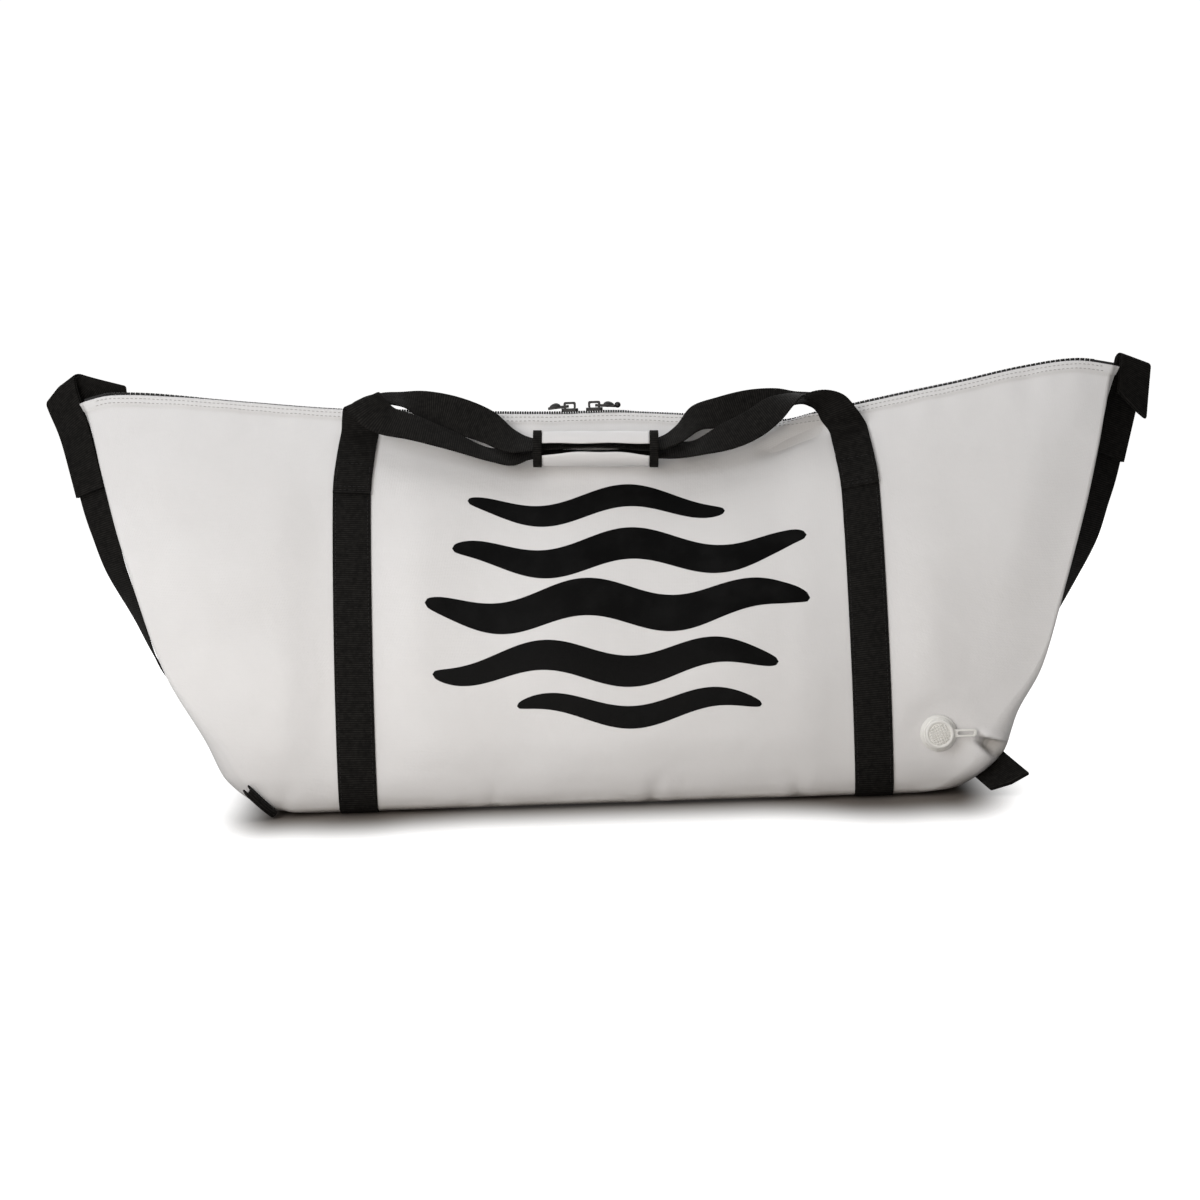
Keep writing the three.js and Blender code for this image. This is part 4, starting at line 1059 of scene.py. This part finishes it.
class FISHBAG_OT_zip(bpy.types.Operator):
    """Zip tape, two rows of moulded teeth, and finishes of the sliders and pulls"""

    bl_idname = "fishbag.zip"
    bl_label = "Zip"

    def execute(self, context):
        tape = self.tape(np.linspace(-ZIP_END, ZIP_END, 420), TAPE_LIFT, TAPE_THICK, 6)
        new_piece("zip_tape_woven", tape, finish_of("zip_tape"), "zip_plastic", "zip_tape")
        # The tape's ends are folded up thick beyond the last teeth.
        reach = np.linspace(ZIP_REACH - 5, ZIP_END, 24)
        ends = [self.tape(way * reach, FOLDED_LIFT, FOLDED_THICK, 4) for way in (-1, 1)]
        new_piece("zip_tape_ends", joined(ends), finish_of("zip_tape"), "zip_plastic")
        teeth = self.teeth(context.scene.bag_sizes.tooth_pitch / MM)
        new_piece("zip_teeth", teeth, finish_of("zip_plastic"), "zip_plastic", "zip_chain")
        for name in PULL_HINGES:
            for kind in ("slider", "pull"):
                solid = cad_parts[f"zip_{kind}_{name}"]
                solid.data.materials.clear()
                solid.data.materials.append(finish_of("black_enamel"))
                soften(solid, 0.0005, 30)
            self.leaf(name)
        return {"FINISHED"}

    def tape(self, x, lift, thick, step):
        """A plain band along the zip, its upper side up whichever way it runs."""
        line = np.stack([x, hem_depth(x), hem_height(x) + lift], -1)
        edge = np.array([0, TAPE_HALF, 0]) * np.sign(x[-1] - x[0])
        return band_mesh(np.stack([line - edge, line + edge], 1), thick, step, 0)

    def teeth(self, pitch):
        """Teeth of the two sides in turn, which sink between the lips where the mouth closes over them."""
        x = np.arange(-ZIP_REACH + 3, ZIP_REACH - 3, pitch / 2)
        side = np.where(np.arange(len(x)) % 2, 1.0, -1.0)
        sunk = sum(depth * plateau(x, *span) for depth, *span in TEETH_SUNK)
        height = hem_height(x) + CHAIN_LIFT + TOOTH_LIFT - sunk
        middle = np.stack([x, hem_depth(x) + side * TOOTH_APART, height], -1)
        ahead = [np.ones_like(x), hem_depth(x + 1) - hem_depth(x), hem_height(x + 1) - hem_height(x)]
        along = unit(np.stack(ahead, -1))
        across = unit(np.cross(np.array([0, 0, 1.0]), along))
        tooth = boxed((pitch * TOOTH_SHARE, *TOOTH_SIZE), TOOTH_CORNER)
        return copies(tooth, middle, along, across, np.cross(along, across))

    def leaf(self, name):
        """The swollen middle of a pull, moulded on its plate."""
        x, z = PULL_HINGES[name]
        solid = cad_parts[f"zip_pull_{name}"]
        plate = np.array([solid.matrix_world @ v.co for v in solid.data.vertices]) / MM
        far = plate[np.argsort(np.abs(plate[:, 0] - x))[-8:]].mean(axis=0) - (x, 0, z)
        along = unit(np.array([far[0], 0, far[2]]))
        up = np.array([-along[2], 0, along[0]])
        start, end, high, wide, rise = PULL_LEAF
        t = np.linspace(0.02, 0.98, 18)
        swollen = np.sin(math.pi * t**0.8) ** 0.6
        a = np.linspace(0, math.tau, 20, endpoint=False)
        rings = [
            (x, 0, z + rise * size) + along * mix(start, end, at) + np.outer(np.cos(a) * size * high, up)
            + np.outer(np.sin(a) * mix(0.75, 1, size) * wide, (0, 1, 0))
            for at, size in zip(t, swollen)
        ]
        shape = np.concatenate(rings), tube_faces(len(rings), len(a)), None
        new_piece(f"zip_pull_leaf_{name}", shape, finish_of("black_enamel"), "zip_metal", body=f"pull_{name}")


def drawn_in(share):
    """How far a strap or a handle's sewn end has come inward at a share of the height."""
    return np.interp(share, *zip(*SEWN_RUN))


class FISHBAG_OT_body_straps(bpy.types.Operator):
    """Webbing straps down the front, under the bottom and up the back, sewn along their edges"""

    bl_idname = "fishbag.body_straps"
    bl_label = "Body straps"

    def execute(self, context):
        half, thick = webbing_size()
        lift = BASE_LIFT - thick / 2
        down, sewn_share = np.linspace(STRAP_TOP, 0.012, 90), np.linspace(0.03, 0.785, 300)
        depth = np.linspace(-1, 1, 9) * float(half_depth(0)) * 0.97
        runs = []
        for name, middle in zip(("left", "right"), STRAP_MIDDLES):
            edges = []
            for edge in (middle - half, middle + half):
                x = edge - drawn_in(down) * np.sign(middle)
                under = np.column_stack([np.full(9, edge), depth, np.full(9, thick / 2)])
                back = face_point(x[::-1], down[::-1], 1, lift)
                edges.append(np.concatenate([face_point(x, down, -1, lift), under, back]))
            webbing_piece(f"body_strap_webbing_{name}", np.stack(edges, 1), f"body_strap_{name}")
            for side in (-1, 1):
                for x in (middle - half + SEAM_IN, middle + half - SEAM_IN):
                    runs.append(sewn(x, sewn_share, side, lift + thick / 2 + THREAD_LIFT))
        new_piece("strap_stitches", joined(runs), finish_of("black_thread"), "webbing")
        return {"FINISHED"}


class FISHBAG_OT_handles(bpy.types.Operator):
    """Carry handles, sewn over the body straps, and the box of stitching at each end"""

    bl_idname = "fishbag.handles"
    bl_label = "Carry handles"

    def execute(self, context):
        half, thick = webbing_size()
        lift = 2 * (BASE_LIFT - thick) + 1.5 * thick
        runs = []
        for name, rows, side in (("front", HANDLE_FRONT, -1), ("back", HANDLE_BACK, 1)):
            left, right = (self.sewn_pairs(way, side, half, lift) for way in (-1, 1))
            pairs = np.array([*left, *self.free_pairs(rows, half), *right[::-1]])
            edges = np.stack([through(pairs[:, 0], 16), through(pairs[:, 1], 16)], 1)
            webbing_piece(f"handle_webbing_{name}", edges, f"handle_{name}")
            for way in (-1, 1):
                runs += self.end_stitches(way, side, half - SEAM_IN, lift + thick / 2 + THREAD_LIFT)
        new_piece("handle_stitches", joined(runs), finish_of("black_thread"), "webbing")
        return {"FINISHED"}

    def middle(self, way, share):
        return STRAP_SHIFT + way * (STRAP_X - drawn_in(share))

    def sewn_pairs(self, way, side, half, lift):
        """Pairs of edge points where an end is sewn down."""
        return [
            [face_point(self.middle(way, share) + way * edge * half, share, side, lift) for edge in (1, -1)]
            for share, _ in SEWN_RUN
        ]

    def free_pairs(self, rows, half):
        """Pairs of edge points where a handle hangs free."""
        pairs = []
        for x, y, z, tilt, lean, wide in rows:
            tilt, lean = math.radians(tilt), math.radians(lean)
            level = math.cos(lean)
            across = np.array([math.cos(tilt) * level, math.sin(lean), math.sin(tilt) * level]) * wide * half
            pairs.append([(x, y, z) - across, (x, y, z) + across])
        return pairs

    def end_stitches(self, way, side, reach, lift):
        across, up = np.linspace(-reach, reach, 40), np.linspace(HANDLE_ROWS[0], HANDLE_ROWS[-1], 60)
        runs = [sewn(self.middle(way, share) + across, share, side, lift) for share in HANDLE_ROWS]
        return runs + [sewn(self.middle(way, up) + edge, up, side, lift) for edge in (-reach, reach)]


class FISHBAG_OT_grip(bpy.types.Operator):
    """Vinyl grip wrapped round both handles, slit along its front, with bound ends"""

    bl_idname = "fishbag.grip"
    bl_label = "Grip"

    def placed(self, points):
        slope = math.radians(GRIP_SLOPE)
        x = points[..., 0] * math.cos(slope) + points[..., 2] * math.sin(slope)
        z = points[..., 2] * math.cos(slope) - points[..., 0] * math.sin(slope)
        return np.stack([x, points[..., 1], z], -1) + np.array(GRIP_PLACE, float)

    def execute(self, context):
        rows, around = GRIP_ROWS, GRIP_COLUMNS
        x = np.linspace(-GRIP_LENGTH / 2, GRIP_LENGTH / 2, rows)[:, None]
        out = np.abs(x / (GRIP_LENGTH / 2))
        above = np.radians(GRIP_ABOVE + 1.5 * np.sin(x / 9))
        below = np.radians(mix(*GRIP_BELOW, 1 - out**2.4) + 1.2 * np.sin(x / 7 + 1))
        a = mix(above, math.tau - below, np.linspace(0, 1, around))
        x = np.broadcast_to(x, a.shape)
        pinch, dent = 1 - 0.035 * out**3, 1 + 0.012 * ripple(x, a * 18, 71, 30, 90)
        skins = []
        for wall in (0, GRIP_WALL):
            deep, high = (GRIP_DEPTH * pinch - wall) * dent, (GRIP_HEIGHT * pinch - wall) * dent
            skins.append(np.stack([x, -deep * np.cos(a), high * np.sin(a)], -1))
        outer, inner = skins
        uv = np.stack([x, a * 19], -1)
        # One closed sheet: round the outside, over the lower lip, back round the inside, over the upper lip.
        lower = (outer[:, -1:] + inner[:, -1:]) / 2 + (outer[:, -1:] - outer[:, -2:-1]) * 0.5
        upper = (outer[:, :1] + inner[:, :1]) / 2 + (outer[:, :1] - outer[:, 1:2]) * 0.5
        loops = np.concatenate([outer, lower, inner[:, ::-1], upper], 1)
        uv = np.concatenate([uv, uv[:, -1:], uv[:, ::-1], uv[:, :1]], 1)
        size = loops.shape[1]
        end = [[j, j + 1, 2 * around - 1 - j, 2 * around - j] for j in range(around - 1)]
        end += [[around - 1, around, around + 1], [2 * around, 2 * around + 1, 0]]
        faces = ring_faces(rows, size) + end + [[i + (rows - 1) * size for i in face[::-1]] for face in end]
        shape = self.placed(loops).reshape(-1, 3), faces, uv.reshape(-1, 2)
        grip = new_piece("grip_wrap_vinyl", shape, finish_of("white_vinyl"), "vinyl", "grip_wrap")
        for name, way in (("left", -1), ("right", 1)):
            self.binding(name, way)
        return {"FINISHED"}

    def binding(self, name, way):
        middle = way * (GRIP_LENGTH / 2 + BINDING_GAP + BINDING_WIDTH / 2)
        a = np.linspace(0, math.tau, 97)
        wobble = 1 + 0.012 * np.sin(3 * a + way)
        deep, high = (size + BINDING_PROUD - BINDING_THICK / 2 for size in (GRIP_DEPTH, GRIP_HEIGHT))
        edges = [
            np.stack([np.full(97, x), -deep * np.cos(a) * wobble, high * np.sin(a) * wobble], -1)
            for x in (middle - BINDING_WIDTH / 2, middle + BINDING_WIDTH / 2)
        ]
        edges = self.placed(np.stack(edges, 1))
        webbing_piece(f"grip_binding_tape_{name}", edges, f"grip_binding_{name}", thick=BINDING_THICK)


class FISHBAG_OT_end_straps(bpy.types.Operator):
    """Straps up both ends, each with a doubled grab loop that has flopped over"""

    bl_idname = "fishbag.end_straps"
    bl_label = "End straps and loops"

    def execute(self, context):
        half = webbing_size()[0]
        for name, loop in LOOPS.items():
            side = loop[0]
            rows = [self.strap_row(row, side) for row in END_STRAP]
            middles = np.array([middle for middle, facing in rows])
            rises = unit(np.gradient(middles, axis=0))
            across = np.array([self.across(r, facing, side) for r, (_, facing) in zip(rises, rows)]) * half
            edges = np.stack([through(middles - across, 12), through(middles + across, 12)], 1)
            webbing_piece(f"end_strap_webbing_{name}", edges, f"end_strap_{name}")
            self.loop_piece(name, loop, rows, half)
        return {"FINISHED"}

    def strap_row(self, row, side):
        """Middle of a strap at a height, and its turn to the front. The right one lies closer to its end, and
        the left one stands off its own low down."""
        height, out, depth, facing = row
        if side > 0:
            out = out - float(6.5 * smooth(60, 150, height) - 2.8 * smooth(270, 342, height))
        else:
            out = out + float(7 * plateau(height, 70, 130, 140, 205))
        share = (height - BASE_LIFT) / (float(hem_height(side * TOP_LENGTH)) - BASE_LIFT)
        return np.array([side * (float(half_length(share)) + out), depth, height]), math.radians(facing)

    def across(self, rise, facing, side):
        flat = np.array([side * math.sin(facing), math.cos(facing), 0])
        return unit(flat - rise * flat.dot(rise))

    def folded(self, along, over, height, loop):
        """A point of a flat doubled band after its fold."""
        _, _, _, fold, slant, angle, radius, way, _ = loop
        slant, angle = math.radians(slant), math.radians(angle)
        past = (along - fold) * math.cos(slant) + over * math.sin(slant)
        if past <= 0:
            return along, over, height
        turned = min(past / radius, angle)
        straight = past - turned * radius
        arm = radius - way * height
        reach = arm * math.sin(turned) + straight * math.cos(turned)
        rise = way * (radius - arm * math.cos(turned) + straight * math.sin(turned))
        return along - (past - reach) * math.cos(slant), over - (past - reach) * math.sin(slant), rise

    def flat_rows(self, loop):
        """Rows of a flat doubled band, out, round the closed end and back: along, slant, height."""
        _, _, long, fold, slant, angle, radius, _, end_slant = loop
        bend = math.radians(angle) * radius
        out = [(a, slant * min(1, a / fold)) for a in np.linspace(0, fold, 30, endpoint=False)]
        out += [(a, slant) for a in np.linspace(fold, fold + bend / math.cos(math.radians(slant)), 28)]
        first = out[-1][0]
        out += [(mix(first, long, t), mix(slant, -end_slant, t)) for t in np.linspace(0, 1, 14)[1:]]
        layer = LOOP_LAYER
        closed = [
            (long + layer * math.sin(t), -end_slant, layer * math.cos(t)) for t in np.linspace(0, math.pi, 9)
        ]
        return [(a, s, layer) for a, s in out[:-1]] + closed + [(a, s, -layer) for a, s in out[-2::-1]]

    def loop_piece(self, name, loop, rows, half):
        side, seam, long = loop[:3]
        (below, below_facing), (above, above_facing) = rows[-2:]
        rise = above - below
        climb = (seam - below[2]) / rise[2]
        start, turn = below + rise * climb, (above_facing - below_facing) / np.linalg.norm(rise)
        start_facing = mix(below_facing, above_facing, climb)
        rise = unit(rise)
        grid = []
        for along, lean, height in self.flat_rows(loop):
            for width in np.linspace(-half, half, LOOP_COLUMNS):
                flat = along - width * math.tan(math.radians(lean))
                flat -= LOOP_ROUND[name] * (abs(width) / half) ** 4 * float(smooth(long - 18, long, along))
                up, over, lift = self.folded(flat, width, height, loop)
                across = self.across(rise, start_facing + turn * up, side)
                outward = np.cross(rise, across) * -side
                grid.append(start + rise * up + across * over + outward * (lift + LOOP_LIFT))
        grid = np.array(grid).reshape(-1, LOOP_COLUMNS, 3)
        for x, z, radius, push_x, push_z in LOOP_BULGES[name]:
            near = hump(np.hypot(grid[..., 0] - x, grid[..., 2] - z), radius)[..., None]
            grid = grid + near * np.array([push_x, 0, push_z])
        webbing_piece(f"end_loop_webbing_{name}", grid, f"end_loop_{name}")


class FISHBAG_OT_corner_tabs(bpy.types.Operator):
    """Short doubled tabs in the seams of the lower front corners"""

    bl_idname = "fishbag.corner_tabs"
    bl_label = "Corner tabs"

    def execute(self, context):
        half = webbing_size()[0]
        for name, (low, high, off, lengths, way, layer, flip, slip) in TABS.items():
            low, high, way = np.array(low, float), np.array(high, float), np.array(way, float)
            across = unit(high - low)
            outward = unit(way - across * way.dot(across))
            facing = np.cross(outward, across) * flip
            root = (low + high) / 2 + outward * off
            path = [(a, 0, layer) for a in np.linspace(0, 1, 14, endpoint=False)]
            path += [(1, layer * math.sin(t), layer * math.cos(t)) for t in np.linspace(0, math.pi, 11)]
            path += [(a, 0, -layer) for a in np.linspace(1, 0, 14)[1:]]
            grid = []
            for part, past, lift in path:
                line = []
                for t in np.linspace(-1, 1, 7):
                    along = part * mix(*lengths, (t + 1) / 2) + past - 1.5 * part**3 * t**4
                    curl = 0.05 * along * (along / 30) + 0.06 * along * t * t
                    aside = np.array([slip * along, 0, 0])
                    line.append(root + outward * along + aside + facing * (lift + curl) + across * half * t)
                grid.append(line)
            webbing_piece(f"corner_tab_webbing_{name}", np.array(grid), f"corner_tab_{name}")
        return {"FINISHED"}


class FISHBAG_OT_print(bpy.types.Operator):
    """Plain black wavy stripes printed on the front"""

    bl_idname = "fishbag.print"
    bl_label = "Printed stripes"

    # Stripes: middle height, half length, half width, shift along the bag, phase of the wave.
    STRIPES = [
        (292, 128, 11, -14, 0.4), (246, 176, 15, 18, 1.5), (196, 190, 18, 4, 2.7), (142, 170, 15, -10, 3.8),
        (98, 120, 11, 22, 5.0),
    ]
    WAVE_LENGTH, WAVE_HEIGHT, MIDDLE, SUNK = 172, 9, 6.5, -0.4

    def execute(self, context):
        levels = context.scene.bag_sizes.print_lift / MM, self.SUNK
        parts = [self.stripe(levels, *stripe) for stripe in self.STRIPES]
        printed = new_piece("front_print", joined(parts), finish_of("print_ink"), "vinyl")
        printed.data.set_sharp_from_angle(angle=math.radians(30))
        return {"FINISHED"}

    def stripe(self, levels, middle, reach, half, shift, phase):
        """One stripe, from its face off the vinyl to its back sunk in it."""
        x = np.linspace(-reach, reach, 150)
        taper = np.sqrt(np.clip(1 - (x / reach) ** 2, 0, 1)) ** 0.8
        wave = self.WAVE_HEIGHT * np.sin(math.tau * x / self.WAVE_LENGTH + phase)
        x = x + shift + self.MIDDLE
        shares = np.linspace(0.05, 0.95, 400)
        heights = BASE_LIFT + shares[:, None] * (hem_height(x)[None] - BASE_LIFT)
        sheets = []
        for level in levels:
            lines = []
            for t in np.linspace(-1, 1, 9):
                z = middle + wave + t * half * np.maximum(taper, 0.01)
                share = np.array([np.interp(z[i], heights[:, i], shares) for i in range(len(x))])
                lines.append(face_point(x, share, -1, level))
            sheets.append(np.stack(lines))
        loops = np.concatenate([sheets[0], sheets[1][::-1]]).transpose(1, 0, 2)
        points = loops.reshape(-1, 3)
        return points, [face[::-1] for face in tube_faces(*loops.shape[:2])], points[:, [0, 2]]


class FISHBAG_OT_stage(bpy.types.Operator):
    """Pale floor, soft studio light and the photograph's camera"""

    bl_idname = "fishbag.stage"
    bl_label = "Studio"

    # Lights: name, place, aim, size, watts, colour.
    LIGHTS = [
        ("overhead", (-0.2, 0.3, 2.4), (0, 0, 0.1), 2.6, 25, (0.985, 0.99, 1)),
        ("key_left", (-1.4, -1.9, 1.4), (0, 0, 0.2), 1.1, 18.5, (0.93, 0.96, 1)),
        ("front_fill", (-0.65, -2.3, 0.3), (0, 0, 0.08), 1.3, 26, (1, 0.94, 0.875)),
        ("back", (0.3, 2.6, 1.5), (0, 0, 0.15), 2.0, 22, (1, 1, 1)),
    ]
    FLOOR_SIDES, FLOOR_REACH = 96, 40
    # Surroundings as the camera sees them and as they light the bag: colour, strength.
    SEEN, LIT = ((1, 1, 1, 1), 1.05), ((1, 0.97, 0.94, 1), 0.18)

    def execute(self, context):
        scene = context.scene
        self.floor(scene)
        for name, place, aim, size, watts, tint in self.LIGHTS:
            light = bpy.data.lights.new(name, "AREA")
            light.size, light.energy, light.color = size, watts, tint
            lamp = bpy.data.objects.new(name, light)
            lamp.location = place
            lamp.rotation_euler = (Vector(aim) - Vector(place)).to_track_quat("-Z", "Y").to_euler()
            scene.collection.objects.link(lamp)
        self.surroundings(scene)
        scene.view_settings.view_transform = "Standard"
        scene.view_settings.look = "None"
        self.camera(scene)
        return {"FINISHED"}

    def floor(self, scene):
        turn = np.arange(self.FLOOR_SIDES) * math.tau / self.FLOOR_SIDES
        rim = [(self.FLOOR_REACH * math.cos(a), self.FLOOR_REACH * math.sin(a), 0) for a in turn]
        mesh = bpy.data.meshes.new("floor")
        mesh.from_pydata(rim, [], [list(range(self.FLOOR_SIDES))])
        mesh.materials.append(finish_of("floor_white"))
        floor = bpy.data.objects.new("floor", mesh)
        scene.collection.objects.link(floor)

    def surroundings(self, scene):
        scene.world = scene.world or bpy.data.worlds.new("studio")
        scene.world.use_nodes = True
        tree = scene.world.node_tree
        tree.nodes.clear()
        seen, lit = (
            node(tree, "ShaderNodeBackground", {"Color": colour, "Strength": strength}).outputs[0]
            for colour, strength in (self.SEEN, self.LIT)
        )
        ray = node(tree, "ShaderNodeLightPath").outputs["Is Camera Ray"]
        both = node(tree, "ShaderNodeMixShader", {0: ray, 1: lit, 2: seen})
        node(tree, "ShaderNodeOutputWorld", {"Surface": both.outputs[0]})

    def camera(self, scene):
        data = bpy.data.cameras.new("photo_camera")
        data.lens, data.sensor_width = CAMERA_LENS, CAMERA_SENSOR
        camera = bpy.data.objects.new("photo_camera", data)
        up = math.radians(CAMERA_ELEVATION)
        back = Vector((0, -math.cos(up), math.sin(up)))
        camera.location = Vector(CAMERA_AIM) * MM + back * CAMERA_DISTANCE * MM
        level = (-back).to_track_quat("-Z", "Y").to_matrix()
        camera.rotation_euler = (level @ Matrix.Rotation(math.radians(-CAMERA_ROLL), 3, "Z")).to_euler()
        scene.collection.objects.link(camera)
        scene.camera = camera


PIECES = [
    FISHBAG_OT_stage,
    FISHBAG_OT_body,
    FISHBAG_OT_seams,
    FISHBAG_OT_print,
    FISHBAG_OT_zip,
    FISHBAG_OT_drain,
    FISHBAG_OT_body_straps,
    FISHBAG_OT_handles,
    FISHBAG_OT_grip,
    FISHBAG_OT_end_straps,
    FISHBAG_OT_corner_tabs,
]


class FISHBAG_PT_panel(bpy.types.Panel):
    """Pieces of the fish bag"""

    bl_idname = "FISHBAG_PT_panel"
    bl_label = "Fish bag"
    bl_space_type = "VIEW_3D"
    bl_region_type = "UI"
    bl_category = "Fish bag"

    def draw(self, context):
        for group in (context.scene.bag_sizes, context.scene.bag_colours):
            for name in group.__annotations__:
                self.layout.prop(group, name)
        for piece in PIECES:
            self.layout.operator(piece.bl_idname)


CLASSES = [BagSizes, BagColours, *PIECES, FISHBAG_PT_panel]


def register():
    for made in CLASSES:
        bpy.utils.register_class(made)
    bpy.types.Scene.bag_sizes = bpy.props.PointerProperty(type=BagSizes)
    bpy.types.Scene.bag_colours = bpy.props.PointerProperty(type=BagColours)


def unregister():
    del bpy.types.Scene.bag_colours, bpy.types.Scene.bag_sizes
    for made in reversed(CLASSES):
        bpy.utils.unregister_class(made)


def main():
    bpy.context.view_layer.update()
    register()
    for piece in PIECES:
        group, name = piece.bl_idname.split(".")
        getattr(getattr(bpy.ops, group), name)()


if __name__ == "__main__":
    main()
